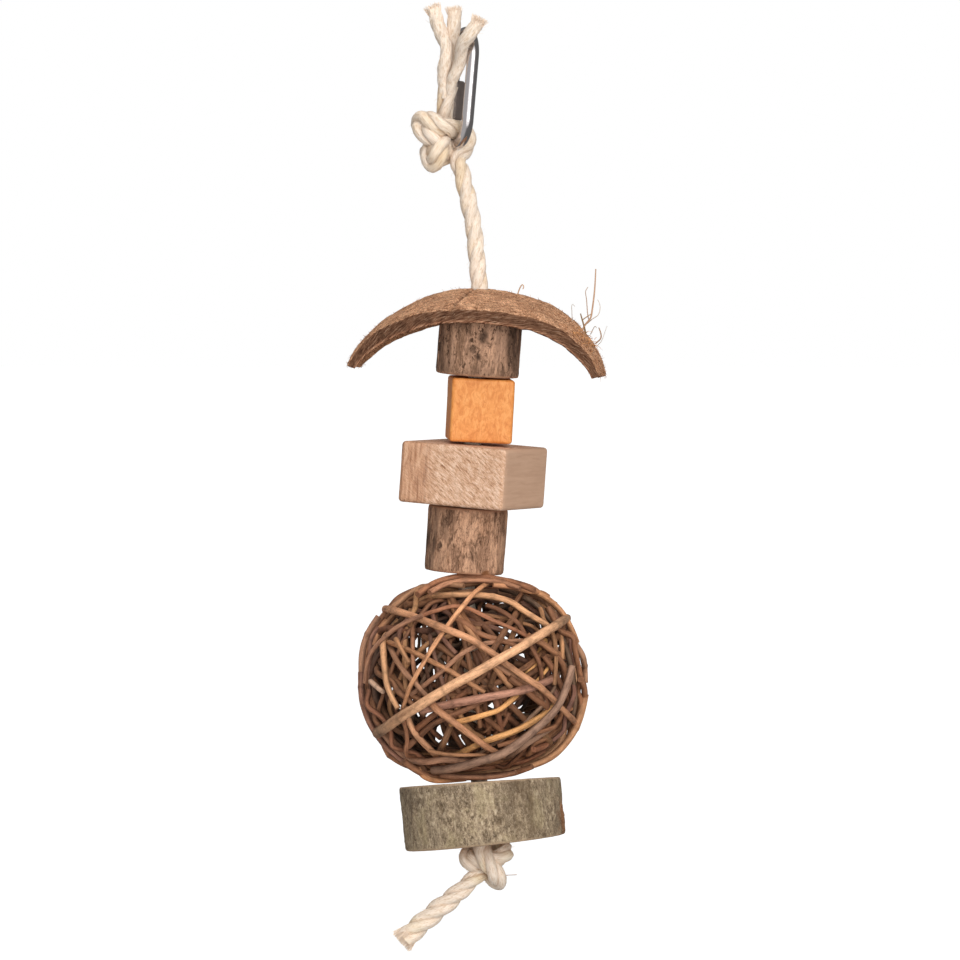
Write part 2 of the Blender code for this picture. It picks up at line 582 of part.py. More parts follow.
def weave(rods):
    """Settle the rods' radii: each crossing keeps its rods apart, one over the other, and the rods stay springy."""
    start = np.concatenate([[0], np.cumsum([len(rod["d"]) for rod in rods])])
    env = np.concatenate([envelope(rod["d"]) for rod in rods])
    want = np.concatenate([np.full(len(rod["d"]), -rod["depth"] - rod["dia"] / 2) for rod in rods])
    cap = np.concatenate([np.full(len(rod["d"]), -rod["dia"] / 2) for rod in rods]) + env
    r = env + want
    runs = [chord_samples(rod["d"], start[n]) for n, rod in enumerate(rods)]
    k0, k1, w0, w1 = (np.concatenate([run[c] for run in runs]) for c in (1, 2, 3, 4))
    owner = np.concatenate([np.full(len(run[0]), n) for n, run in enumerate(runs)])
    at0 = np.concatenate([[0], np.cumsum([len(run[0]) for run in runs])])
    share = 1.0 / (w0 * w0 + w1 * w1)

    # sample pairs of different rods that pass within touching reach, grouped into crossings
    i, j, need, group, n_group = [], [], [], [], 0
    for a in range(len(rods)):
        for b in range(a + 1, len(rods)):
            reach = (rods[a]["dia"] + rods[b]["dia"]) / 2 + ROD_GAP
            t2 = 2.0 * 33.0 ** 2 * (1.0 - np.clip(runs[a][0] @ runs[b][0].T, -1.0, 1.0))
            ia, jb = np.nonzero(t2 < reach * reach)
            if len(ia):
                order = np.argsort(ia, kind="stable")
                ia, jb = ia[order], jb[order]
                jump = np.concatenate([[0], np.cumsum(np.diff(ia) > 4)])
                i.append(ia + at0[a])
                j.append(jb + at0[b])
                need.append(np.sqrt(reach * reach - t2[ia, jb]))
                group.append(jump + n_group)
                n_group += int(jump[-1]) + 1
    i, j, need, group = (np.concatenate(c) for c in (i, j, need, group))
    rank = np.array([rod["depth"] for rod in rods])
    count = np.maximum(np.bincount(group, minlength=n_group), 1)
    lift = np.bincount(group, weights=rank[owner[j]] - rank[owner[i]], minlength=n_group) / count
    side = None
    for step in range(900):
        rs = w0 * r[k0] + w1 * r[k1]
        if side is None or (step < 500 and step % 20 == 0):
            diff = np.bincount(group, weights=rs[i] - rs[j], minlength=n_group) / count
            side = np.where(0.25 * diff + lift >= 0.0, 1.0, -1.0)
        sg = side[group]
        short = need - sg * (rs[i] - rs[j])
        hit = short > 0.0
        push = 0.5 * short[hit] * sg[hit]
        up, down = np.zeros(len(r)), np.zeros(len(r))
        for s, p in ((i[hit], push), (j[hit], -push)):
            for k, w in ((k0, w0), (k1, w1)):
                np.maximum.at(up, k[s], p * w[s] * share[s])
                np.minimum.at(down, k[s], p * w[s] * share[s])
        r = r + up + down
        if step < 700:
            spring = 0.30 if step < 450 else 0.30 * (700 - step) / 250
            h = r - env
            for a, b in zip(start, start[1:]):
                h[a:b] = eased(eased(h[a:b], spring), spring)
            r = env + h + 0.045 * spring * (want - h)
        r = np.minimum(r, cap)
    return [r[a:b] for a, b in zip(start, start[1:])]


def back_rod(i):
    """Arc for the back and sides: a circle on the ball whose axis steps by the golden angle."""
    g = i * math.pi * (3.0 - math.sqrt(5.0))
    tip = -0.85 + 1.7 * (i + 0.5) / BACK_RODS
    axis = np.array([math.cos(g) * math.sqrt(1 - tip * tip), 0.55 * math.sin(g), tip])
    axis = axis / np.linalg.norm(axis)
    off = 0.42 * math.sin(2.3 * i + 0.7)
    mid = np.array([0.25 * math.sin(1.7 * i), 1.0, 0.3 * math.cos(2.9 * i)])
    mid = mid - axis * mid.dot(axis)
    mid = mid / np.linalg.norm(mid)
    side = np.cross(axis, mid)
    half = math.radians(72 + 22 * math.sin(1.3 * i + 0.4))
    a = np.linspace(-half, half, int(2 * half * 34 / STATION) + 1)
    d = off * axis + math.sqrt(1 - off * off) * (np.cos(a)[:, None] * mid + np.sin(a)[:, None] * side)
    return d, 2.1 + 0.6 * math.sin(2.1 * i), 1.2 + 4.4 * i / (BACK_RODS - 1)


def lay_ball():
    """Place every rod, then settle the weave; front rods stay on their layout as they sink or rise."""
    rods = []
    for name, dia, depth, lead, trail, layout in FRONT_RODS:
        line = smooth(layout, GRID * STATION)
        rods.append({"dia": dia, "depth": depth, "lead": lead, "trail": trail, "line": line, "sink": 2.5 if "outline" in name else 9.0,
                     "under": np.full(len(line), depth + dia / 2)})
    for i in range(BACK_RODS):
        d, dia, depth = back_rod(i)
        rods.append({"dia": dia, "depth": depth, "line": None, "d": keep_off_axis(d, POLE_CLEAR, False)})
    for _ in range(3):
        for rod in rods:
            if rod["line"] is not None:
                d = front_directions(rod["line"], np.minimum(rod["under"], rod["depth"] + rod["dia"] / 2 + rod["sink"]))
                head = carry_on(d[1], d[0], rod["lead"], STATION)[::-1]
                d = np.vstack([head, d, carry_on(d[-2], d[-1], rod["trail"], STATION)])
                rod["d"] = keep_off_axis(d, POLE_CLEAR, True)
                rod["head"] = len(head)
        for rod, r in zip(rods, weave(rods)):
            rod["r"] = r
            if rod["line"] is not None:
                rod["under"] = (envelope(rod["d"]) - r)[rod["head"]:rod["head"] + len(rod["line"])]
    return [(rod["d"] * rod["r"][:, None], rod["dia"]) for rod in rods]


for i, (pts, dia) in enumerate(lay_ball()):
    world = BALL_O + pts @ BALL_M.T
    n = len(world)
    taper = 1.0 - 0.18 * np.linspace(0.0, 1.0, n)
    tube("willow_rod_%02d" % (i + 1), world, dia / 2, 6, BALL_O, "willow", taper=taper)
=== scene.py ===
"""Looks of the willow ball bird toy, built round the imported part.
Lengths below are millimetres unless said otherwise; meshes are made in metres."""
import math

import bpy
import numpy as np
from mathutils import Matrix, Vector


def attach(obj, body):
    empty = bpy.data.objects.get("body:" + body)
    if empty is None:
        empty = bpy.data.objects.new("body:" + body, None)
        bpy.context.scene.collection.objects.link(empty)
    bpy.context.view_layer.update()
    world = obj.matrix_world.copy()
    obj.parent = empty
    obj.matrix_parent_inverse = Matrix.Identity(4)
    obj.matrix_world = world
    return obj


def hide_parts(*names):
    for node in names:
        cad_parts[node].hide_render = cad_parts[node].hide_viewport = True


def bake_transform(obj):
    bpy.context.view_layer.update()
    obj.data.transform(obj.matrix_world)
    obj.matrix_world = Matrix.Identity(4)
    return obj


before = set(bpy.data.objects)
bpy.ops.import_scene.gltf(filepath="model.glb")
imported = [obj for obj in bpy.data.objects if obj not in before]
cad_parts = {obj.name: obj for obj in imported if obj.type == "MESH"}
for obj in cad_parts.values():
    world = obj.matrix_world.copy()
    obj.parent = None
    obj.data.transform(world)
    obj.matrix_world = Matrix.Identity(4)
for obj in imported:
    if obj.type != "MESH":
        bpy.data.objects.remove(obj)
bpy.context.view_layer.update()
MM = 0.001
RNG = np.random.default_rng(20817)

# ---------------------------------------------------------------- layout shared with the part
GRID = 3.0
ZERO = (465.9, 39.0)
VIEW_TILT = math.radians(1.2)


def at(u, w, y=0.0):
    v = -(w - ZERO[1]) / GRID
    return np.array([(u - ZERO[0]) / GRID, y, (v - y * math.sin(VIEW_TILT)) / math.cos(VIEW_TILT)])


def basis(lean, pitch=0.0, yaw=0.0):
    return np.array(Matrix.Rotation(math.radians(lean), 3, "Y") @ Matrix.Rotation(math.radians(pitch), 3, "X")
                    @ Matrix.Rotation(math.radians(yaw), 3, "Z"))


STACK_PITCH, LOW_PITCH = 2.0, -1.0
HOLE_R = 4.3
LOG1_R, LOG1_H, LOG1_C, LOG1_LEAN = 13.8, 21.2, at(479.3, 343.6, -1.43), 4.3
LOG2_R, LOG2_H, LOG2_C, LOG2_LEAN = 13.2, 21.8, at(466.0, 539.2, 0.85), 4.1
CUBE, CUBE_C, CUBE_LEAN, CUBE_YAW, CUBE_HOLE = 21.2, at(480.0, 409.4, -0.66), 3.0, 4.5, at(474.4, 409.4, -0.66)
BLOCK, BLOCK_H = 37.8, 20.0
BLOCK_C, BLOCK_LEAN, BLOCK_YAW, BLOCK_HOLE = at(473.2, 474.4, 0.10), 4.0, -22.0, at(470.3, 474.4, 0.10)
SLICE_R, SLICE_H, SLICE_C, SLICE_LEAN = 27.0, 20.2, at(482.2, 812.4, -0.14), -6.2
SLICE_TOP_LEAN, SLICE_TOP_PITCH = -3.8, -3.4
BALL_C, BALL_LEAN = at(472.7, 678.1, 0.62), -4.0
HUSK_C = at(479.2, 289.0, -1.87)
HUSK_A, HUSK_B, HUSK_DROP = 44.8, 36.5, 26.8
HUSK_HALF, HUSK_HALF_END, HUSK_CROSS_R, HUSK_T = 23.0, 5.0, 45.0, 4.4
HUSK_YAW, HUSK_ROLL = -10.0, 2.0
ROPE_R = 3.0
SIDE_PIVOT, FRONT_PIVOT = at(461.9, 174), at(472.0, 219, -0.65)


# ---------------------------------------------------------------- small tools
def hash01(ix, iy, iz, seed):
    h = (ix.astype(np.int64) * 374761393 + iy.astype(np.int64) * 668265263 + iz.astype(np.int64) * 2147483647
         + seed * 974711) & 0x7FFFFFFF
    h = ((h ^ (h >> 13)) * 1274126177) & 0x7FFFFFFF
    h = h ^ (h >> 16)
    return (h & 0xFFFFFF) / float(0xFFFFFF)


def vnoise(p, seed=0):
    """Smooth value noise in -1..1 at points p (N x 3)."""
    f = np.floor(p)
    t = p - f
    t = t * t * (3 - 2 * t)
    i = f.astype(np.int64)
    out = 0.0
    for dx in (0, 1):
        for dy in (0, 1):
            for dz in (0, 1):
                w = ((t[:, 0] if dx else 1 - t[:, 0]) * (t[:, 1] if dy else 1 - t[:, 1])
                     * (t[:, 2] if dz else 1 - t[:, 2]))
                out = out + w * hash01(i[:, 0] + dx, i[:, 1] + dy, i[:, 2] + dz, seed)
    return 2.0 * out - 1.0


def fbm(p, octaves=3, seed=0):
    out, amp, tot = 0.0, 1.0, 0.0
    for k in range(octaves):
        out = out + amp * vnoise(p * 2.0 ** k + 17.3 * k, seed + 31 * k)
        tot += amp
        amp *= 0.5
    return out / tot


def evenly(pts, step):
    seg = np.linalg.norm(np.diff(pts, axis=0), axis=1)
    s = np.concatenate([[0.0], np.cumsum(seg)])
    n = max(2, int(round(s[-1] / step)) + 1)
    q = np.linspace(0.0, s[-1], n)
    return np.stack([np.interp(q, s, pts[:, k]) for k in range(pts.shape[1])], axis=1)


def smooth(points, step, fine=24):
    p = np.asarray(points, float)
    ext = np.vstack([2 * p[0] - p[1], p, 2 * p[-1] - p[-2]])
    out = []
    for i in range(1, len(ext) - 2):
        a, b, c, d = ext[i - 1], ext[i], ext[i + 1], ext[i + 2]
        for t in np.linspace(0.0, 1.0, fine, endpoint=False):
            out.append(0.5 * (2 * b + (c - a) * t + (2 * a - 5 * b + 4 * c - d) * t * t
                              + (3 * b - a - 3 * c + d) * t ** 3))
    out.append(p[-1])
    return evenly(np.array(out), step)


def arc_length(pts):
    return np.concatenate([[0.0], np.cumsum(np.linalg.norm(np.diff(pts, axis=0), axis=1))])


def frames(pts, first=None):
    """Tangents and turning-free side vectors along a run of points."""
    t = np.gradient(pts, axis=0)
    t = t / np.linalg.norm(t, axis=1)[:, None]
    n = np.zeros_like(t)
    a = np.array([0.0, 1.0, 0.0]) if first is None else np.asarray(first, float)
    if abs(a.dot(t[0])) > 0.95:
        a = np.array([1.0, 0.0, 0.0])
    v = a - t[0] * a.dot(t[0])
    n[0] = v / np.linalg.norm(v)
    for i in range(1, len(t)):
        v = n[i - 1] - t[i] * n[i - 1].dot(t[i])
        n[i] = v / np.linalg.norm(v)
    return t, n, np.cross(t, n)


class Shape:
    """Collects points, faces, a UV map and a colour for one mesh."""

    def __init__(self):
        self.v, self.uv, self.col, self.f, self.m = [], [], [], [], []
        self.n = 0

    def points(self, p, uv=None, col=None):
        p = np.asarray(p, float).reshape(-1, 3)
        self.v.append(p)
        self.uv.append(np.zeros((len(p), 2)) if uv is None else np.asarray(uv, float).reshape(-1, 2))
        c = np.ones((len(p), 4)) if col is None else np.broadcast_to(np.asarray(col, float), (len(p), 4))
        self.col.append(c)
        first = self.n
        self.n += len(p)
        return first

    def faces(self, quads, mat=0):
        quads = np.asarray(quads, int)
        self.f.append(quads)
        self.m.append(np.full(len(quads), mat))

    def grid(self, first, rows, cols, wrap=False, flip=False, mat=0):
        """Quads of a rows x cols block of points."""
        r, c = np.meshgrid(np.arange(rows - 1), np.arange(cols if wrap else cols - 1), indexing="ij")
        c1 = (c + 1) % cols
        q = np.stack([r * cols + c, r * cols + c1, (r + 1) * cols + c1, (r + 1) * cols + c], axis=-1).reshape(-1, 4) + first
        self.faces(q[:, ::-1] if flip else q, mat)

    def fan(self, ring, centre, flip=False, mat=0):
        ring = np.asarray(ring, int)
        nxt = np.roll(ring, -1)
        tri = np.stack([ring, nxt, np.full(len(ring), centre)], axis=1)
        self.faces(tri[:, ::-1] if flip else tri, mat)

    def object(self, name, mats, angle=40.0):
        v = np.vstack(self.v) * MM
        uv, col = np.vstack(self.uv), np.vstack(self.col)
        faces = [tuple(int(i) for i in q) for block in self.f for q in block]
        me = bpy.data.meshes.new(name)
        me.from_pydata(v.tolist(), [], faces)
        me.polygons.foreach_set("material_index", np.concatenate(self.m).astype(np.int32))
        loops = np.zeros(len(me.loops), np.int32)
        me.loops.foreach_get("vertex_index", loops)
        layer = me.uv_layers.new(name="UVMap")
        layer.data.foreach_set("uv", uv[loops].astype(np.float32).ravel())
        attr = me.attributes.new("tint", "FLOAT_COLOR", "POINT")
        attr.data.foreach_set("color", col.astype(np.float32).ravel())
        for mat in mats:
            me.materials.append(mat)
        me.shade_smooth()
        me.set_sharp_from_angle(angle=math.radians(angle))
        me.update()
        obj = bpy.data.objects.new(name, me)
        bpy.context.scene.collection.objects.link(obj)
        return obj


def bar(shape, pts, radius, sides, col=None, cap=None, first=None, mat=0, cap_mat=None, wob=None, u0=0.0):
    """Round bar along points, with its own caps; radius is one per point, or points x sides."""
    t, n, b = frames(pts, first)
    a = 2 * math.pi * np.arange(sides) / sides
    r = np.asarray(radius, float)
    if r.ndim == 0:
        r = np.full(len(pts), float(r))
    if r.ndim == 1:
        r = np.repeat(r[:, None], sides, axis=1)
    if wob is not None:
        r = r * wob
    p = pts[:, None, :] + r[..., None] * (np.cos(a)[None, :, None] * n[:, None, :] + np.sin(a)[None, :, None] * b[:, None, :])
    s = arc_length(pts)
    uv = np.stack(np.broadcast_arrays(u0 + np.arange(sides)[None, :] / sides, s[:, None]), axis=-1)
    c = None
    if col is not None:
        c = np.asarray(col, float)
        c = np.repeat(c[:, None, :], sides, axis=1).reshape(-1, 4) if c.ndim == 2 else (c.reshape(-1, 4) if c.ndim == 3 else c)
    k = shape.points(p.reshape(-1, 3), uv.reshape(-1, 2), c)
    shape.grid(k, len(pts), sides, wrap=True, mat=mat)
    cm = mat if cap_mat is None else cap_mat
    for end, ring in ((0, p[0]), (1, p[-1])):
        cc = cap if cap is not None else (None if col is None else (col if np.ndim(col) == 1 else np.asarray(col)[-1 if end else 0]))
        d = t[-1] if end else -t[0]
        uv2 = np.stack([np.arange(sides) / sides, np.full(sides, s[-1] if end else 0.0)], axis=1)
        k2 = shape.points(ring, uv2, cc)
        k3 = shape.points((ring.mean(0) + d * 0.04 * float(np.mean(r[-1 if end else 0])))[None, :], [[0.5, s[-1] if end else 0.0]], cc)
        shape.fan(np.arange(sides) + k2, k3, flip=not end, mat=cm)
    return p


# ---------------------------------------------------------------- materials
class Nodes:
    """Short hand for building a node material."""

    def __init__(self, name):
        self.mat = bpy.data.materials.new(name)
        self.mat.use_nodes = True
        self.t = self.mat.node_tree
        self.bsdf = self.t.nodes["Principled BSDF"]

    def add(self, kind, **sets):
        n = self.t.nodes.new(kind)
        for k, v in sets.items():
            setattr(n, k, v)
        return n

    def link(self, a, b):
        self.t.links.new(a, b)

    def put(self, sock, value):
        if isinstance(value, bpy.types.NodeSocket):
            self.link(value, sock)
        else:
            sock.default_value = value

    def coords(self, which="Object"):
        return self.add("ShaderNodeTexCoord").outputs[which]

    def mapping(self, vec, scale=(1, 1, 1), rot=(0, 0, 0), loc=(0, 0, 0)):
        n = self.add("ShaderNodeMapping")
        self.link(vec, n.inputs["Vector"])
        n.inputs["Scale"].default_value = scale
        n.inputs["Rotation"].default_value = rot
        n.inputs["Location"].default_value = loc
        return n.outputs["Vector"]

    def noise(self, vec, scale, detail=4.0, rough=0.55, distort=0.0):
        n = self.add("ShaderNodeTexNoise")
        self.link(vec, n.inputs["Vector"])
        n.inputs["Scale"].default_value = scale
        n.inputs["Detail"].default_value = detail
        n.inputs["Roughness"].default_value = rough
        n.inputs["Distortion"].default_value = distort
        return n.outputs["Fac"]

    def voronoi(self, vec, scale, feature="F1", rand=1.0):
        n = self.add("ShaderNodeTexVoronoi", feature=feature)
        self.link(vec, n.inputs["Vector"])
        n.inputs["Scale"].default_value = scale
        n.inputs["Randomness"].default_value = rand
        return n.outputs["Distance"]

    def wave(self, vec, scale, distort=2.0, detail=2.0, dscale=1.0, kind="BANDS", direction="X", profile="SIN"):
        n = self.add("ShaderNodeTexWave", wave_type=kind, wave_profile=profile)
        if kind == "BANDS":
            n.bands_direction = direction
        else:
            n.rings_direction = direction
        self.link(vec, n.inputs["Vector"])
        n.inputs["Scale"].default_value = scale
        n.inputs["Distortion"].default_value = distort
        n.inputs["Detail"].default_value = detail
        n.inputs["Detail Scale"].default_value = dscale
        return n.outputs["Fac"]

    def ramp(self, fac, stops, mode="LINEAR"):
        n = self.add("ShaderNodeValToRGB")
        n.color_ramp.interpolation = mode
        el = n.color_ramp.elements
        while len(el) < len(stops):
            el.new(0.5)
        for e, (pos, c) in zip(el, stops):
            e.position = pos
            e.color = (*c, 1.0) if len(c) == 3 else c
        self.link(fac, n.inputs["Fac"])
        return n.outputs["Color"]

    def span(self, fac, lo, hi, to_lo=0.0, to_hi=1.0):
        n = self.add("ShaderNodeMapRange")
        self.link(fac, n.inputs["Value"])
        for k, v in zip(("From Min", "From Max", "To Min", "To Max"), (lo, hi, to_lo, to_hi)):
            n.inputs[k].default_value = v
        return n.outputs["Result"]

    def mix(self, fac, a, b, blend="MIX"):
        n = self.add("ShaderNodeMix", data_type="RGBA", blend_type=blend)
        self.put(n.inputs["Factor"], fac)
        self.put(n.inputs["A"], a if isinstance(a, bpy.types.NodeSocket) else (*a, 1.0))
        self.put(n.inputs["B"], b if isinstance(b, bpy.types.NodeSocket) else (*b, 1.0))
        return n.outputs["Result"]

    def math(self, op, a, b=0.0, clamp=False):
        n = self.add("ShaderNodeMath", operation=op, use_clamp=clamp)
        self.put(n.inputs[0], a)
        self.put(n.inputs[1], b)
        return n.outputs[0]

    def attr(self, name="tint", out="Color"):
        return self.add("ShaderNodeAttribute", attribute_name=name).outputs[out]

    def bump(self, height, strength, distance, normal=None):
        n = self.add("ShaderNodeBump")
        n.inputs["Strength"].default_value = strength
        n.inputs["Distance"].default_value = distance
        self.link(height, n.inputs["Height"])
        if normal is not None:
            self.link(normal, n.inputs["Normal"])
        return n.outputs["Normal"]

    def done(self, colour, rough, normal=None, **sockets):
        self.put(self.bsdf.inputs["Base Color"], colour if isinstance(colour, bpy.types.NodeSocket) else (*colour, 1.0))
        self.put(self.bsdf.inputs["Roughness"], rough)
        if normal is not None:
            self.link(normal, self.bsdf.inputs["Normal"])
        for k, v in sockets.items():
            self.bsdf.inputs[k.replace("_", " ")].default_value = v
        return self.mat


def mm_coords(n):
    return n.mapping(n.coords("Object"), scale=(1000, 1000, 1000))


def make_chrome():
    n = Nodes("chrome")
    v = mm_coords(n)
    r = n.span(n.noise(n.mapping(v, (1.4, 1.4, 0.5)), 1.0, 5.0), 0.3, 0.7, 0.07, 0.17)
    nor = n.bump(n.noise(v, 2.2, 3.0), 0.12, 0.00012)
    return n.done((0.57, 0.535, 0.535), r, nor, Metallic=1.0)


def make_nut():
    n = Nodes("nut_steel")
    v = mm_coords(n)
    # dark brown-grey base and low metal: painted shade, for the shadow the nut sits in behind the rope
    c = n.ramp(n.noise(v, 0.5, 4.0), [(0.3, (0.165, 0.132, 0.118)), (0.7, (0.225, 0.180, 0.160))])
    nor = n.bump(n.noise(v, 2.6, 4.0), 0.25, 0.0002)
    return n.done(c, 0.46, nor, Metallic=0.35, Specular_IOR_Level=0.3)


def make_sisal(name, pale, mid, deep):
    n = Nodes(name)
    uv = n.coords("UV")
    tint = n.attr()
    fib = n.noise(n.mapping(uv, (26.0, 0.55, 1.0)), 1.0, 5.0, 0.65, 0.4)
    thin = n.noise(n.mapping(uv, (60.0, 0.9, 1.0)), 1.0, 3.0, 0.6)
    broad = n.noise(n.mapping(uv, (5.0, 0.16, 1.0)), 1.0, 3.0)
    c = n.ramp(fib, [(0.33, deep), (0.45, mid), (0.57, pale)])
    c = n.mix(n.span(thin, 0.36, 0.45, 0.55, 0.0), c, deep)
    c = n.mix(n.span(broad, 0.35, 0.68, 0.0, 0.45), c, mid)
    c = n.mix(1.0, c, tint, "MULTIPLY")
    h = n.math("ADD", n.math("MULTIPLY", fib, 0.7), n.math("MULTIPLY", thin, 0.3))
    nor = n.bump(h, 0.85, 0.0007)
    return n.done(c, 0.8, nor, Sheen_Weight=0.15, Specular_IOR_Level=0.25)


def make_hair(name, colours):
    n = Nodes(name)
    c = n.mix(1.0, n.attr(), n.ramp(n.noise(mm_coords(n), 0.4, 2.0), [(0.3, colours[0]), (0.7, colours[1])]), "MULTIPLY")
    return n.done(c, 0.75, None, Specular_IOR_Level=0.25)


def make_husk():
    n = Nodes("husk_fibre")
    v = mm_coords(n)
    fib = n.noise(n.mapping(v, (0.85, 1.7, 1.2)), 1.0, 8.0, 0.74, 1.0)
    blot = n.noise(n.mapping(v, (0.12, 0.18, 0.14)), 1.0, 4.0, 0.6)
    fine = n.noise(n.mapping(v, (2.0, 5.0, 4.0)), 1.0, 4.0, 0.7)
    c = n.ramp(fib, [(0.40, (0.15, 0.060, 0.028)), (0.46, (0.44, 0.200, 0.100)), (0.52, (0.69, 0.355, 0.190)), (0.59, (0.98, 0.60, 0.365))])
    c = n.mix(n.span(blot, 0.45, 0.65, 0.0, 0.35), c, (0.60, 0.34, 0.205))
    c = n.mix(n.span(blot, 0.36, 0.48, 0.35, 0.0), c, (0.30, 0.135, 0.07))
    clump = n.noise(n.mapping(v, (0.42, 0.75, 0.60)), 1.0, 6.0, 0.72, 0.8)
    c = n.mix(n.span(clump, 0.38, 0.48, 0.62, 0.0), c, (0.19, 0.080, 0.040))
    c = n.mix(n.span(clump, 0.53, 0.63, 0.0, 0.62), c, (0.92, 0.525, 0.315))
    c = n.mix(n.span(fine, 0.38, 0.46, 0.80, 0.0), c, (0.12, 0.048, 0.022))
    c = n.mix(n.span(fine, 0.54, 0.61, 0.0, 0.7), c, (0.98, 0.585, 0.345))
    c = n.mix(1.0, c, n.attr(), "MULTIPLY")
    h = n.math("ADD", n.math("MULTIPLY", fib, 0.6), n.math("MULTIPLY", fine, 0.4))
    nor = n.bump(h, 0.9, 0.0012)
    return n.done(c, 0.95, nor, Specular_IOR_Level=0.12)


def make_husk_cut():
    n = Nodes("husk_cut")
    v = mm_coords(n)
    tilt = n.mapping(n.coords("UV"), (1, 1, 1), (0, 0, math.radians(17)))
    streak = n.noise(n.mapping(tilt, (0.24, 1.9, 1.0)), 1.0, 6.0, 0.7, 0.3)
    fine = n.noise(n.mapping(v, (3.0, 3.0, 3.0)), 1.0, 4.0, 0.7)
    c = n.ramp(streak, [(0.35, (0.055, 0.022, 0.012)), (0.46, (0.185, 0.083, 0.046)), (0.55, (0.31, 0.155, 0.087)), (0.68, (0.55, 0.35, 0.23))])
    c = n.mix(n.span(fine, 0.3, 0.55, 0.35, 0.0), c, (0.06, 0.025, 0.012))
    c = n.mix(1.0, c, n.attr(), "MULTIPLY")
    nor = n.bump(streak, 0.9, 0.0009)
    return n.done(c, 0.95, nor, Specular_IOR_Level=0.12)


def make_bark(name, dark, mid, light, grey, loc, marks=0.92):
    """Streaky bark; the tint's red marks torn patches, its green dark knots and dark patches (on the logs' left and
    right sides these are painted shade), its blue the rims.
    """
    n = Nodes(name)
    v = n.mapping(mm_coords(n), (1, 1, 1), (0, 0, 0), loc)
    sep = n.add("ShaderNodeSeparateColor")
    n.link(n.attr(), sep.inputs[0])
    streak = n.noise(n.mapping(v, (0.42, 0.42, 0.085)), 1.0, 9.0, 0.72, 0.6)
    blot = n.noise(n.mapping(v, (0.15, 0.15, 0.060)), 1.0, 6.0, 0.62, 0.6)
    fine = n.noise(n.mapping(v, (2.0, 2.0, 0.9)), 1.0, 6.0, 0.72)
    flake = n.noise(n.mapping(v, (0.55, 0.55, 0.30)), 1.0, 5.0, 0.65, 0.8)
    c = n.ramp(streak, [(0.30, dark), (0.42, mid), (0.51, light), (0.64, (light[0] * 1.35, light[1] * 1.35, light[2] * 1.35))])
    c = n.mix(n.span(blot, 0.39, 0.50, 0.62, 0.0), c, (dark[0] * 1.5, dark[1] * 1.5, dark[2] * 1.5))
    c = n.mix(n.span(blot, 0.54, 0.68, 0.0, 0.55), c, grey)
    c = n.mix(n.span(flake, 0.60, 0.66, 0.0, 0.45), c, (dark[0] * 0.8, dark[1] * 0.8, dark[2] * 0.8))
    c = n.mix(n.span(fine, 0.36, 0.46, 0.56, 0.0), c, dark)
    c = n.mix(n.span(fine, 0.55, 0.66, 0.0, 0.55), c, (light[0] * 1.5, light[1] * 1.5, light[2] * 1.5))
    crack = n.math("SUBTRACT", n.noise(n.mapping(v, (0.50, 0.50, 0.085)), 1.0, 7.0, 0.62, 0.5), 0.5)
    c = n.mix(n.math("MULTIPLY", n.span(n.math("MULTIPLY", crack, crack), 0.00008, 0.00060, 0.9, 0.0), n.span(blot, 0.40, 0.58, 1.0, 0.20)), c, (dark[0] * 0.7, dark[1] * 0.62, dark[2] * 0.55))
    c = n.mix(n.span(n.voronoi(n.mapping(v, (0.75, 0.75, 0.42)), 1.0), 0.07, 0.13, 0.75, 0.0), c, (dark[0] * 0.8, dark[1] * 0.7, dark[2] * 0.6))
    mark = n.noise(n.mapping(v, (0.85, 0.85, 0.42)), 1.0, 5.0, 0.68, 0.6)
    where = n.noise(n.mapping(v, (0.24, 0.24, 0.045)), 1.0, 4.0, 0.6, 0.3)
    c = n.mix(n.math("MULTIPLY", n.span(mark, 0.535, 0.575, 0.0, marks), n.span(where, 0.47, 0.55, 0.0, 1.0)), c, (dark[0] * 0.75, dark[1] * 0.68, dark[2] * 0.62))
    c = n.mix(sep.outputs[1], c, (0.055, 0.031, 0.020))
    c = n.mix(n.math("MULTIPLY", sep.outputs[2], 0.7), c, (0.40, 0.20, 0.115))
    c = n.mix(sep.outputs[0], c, n.ramp(fine, [(0.3, (0.17, 0.066, 0.026)), (0.7, (0.44, 0.21, 0.095))]))
    h = n.math("ADD", n.math("MULTIPLY", streak, 0.65), n.math("MULTIPLY", fine, 0.35))
    nor = n.bump(h, 0.75, 0.0009)
    return n.done(c, 0.85, nor, Specular_IOR_Level=0.2)


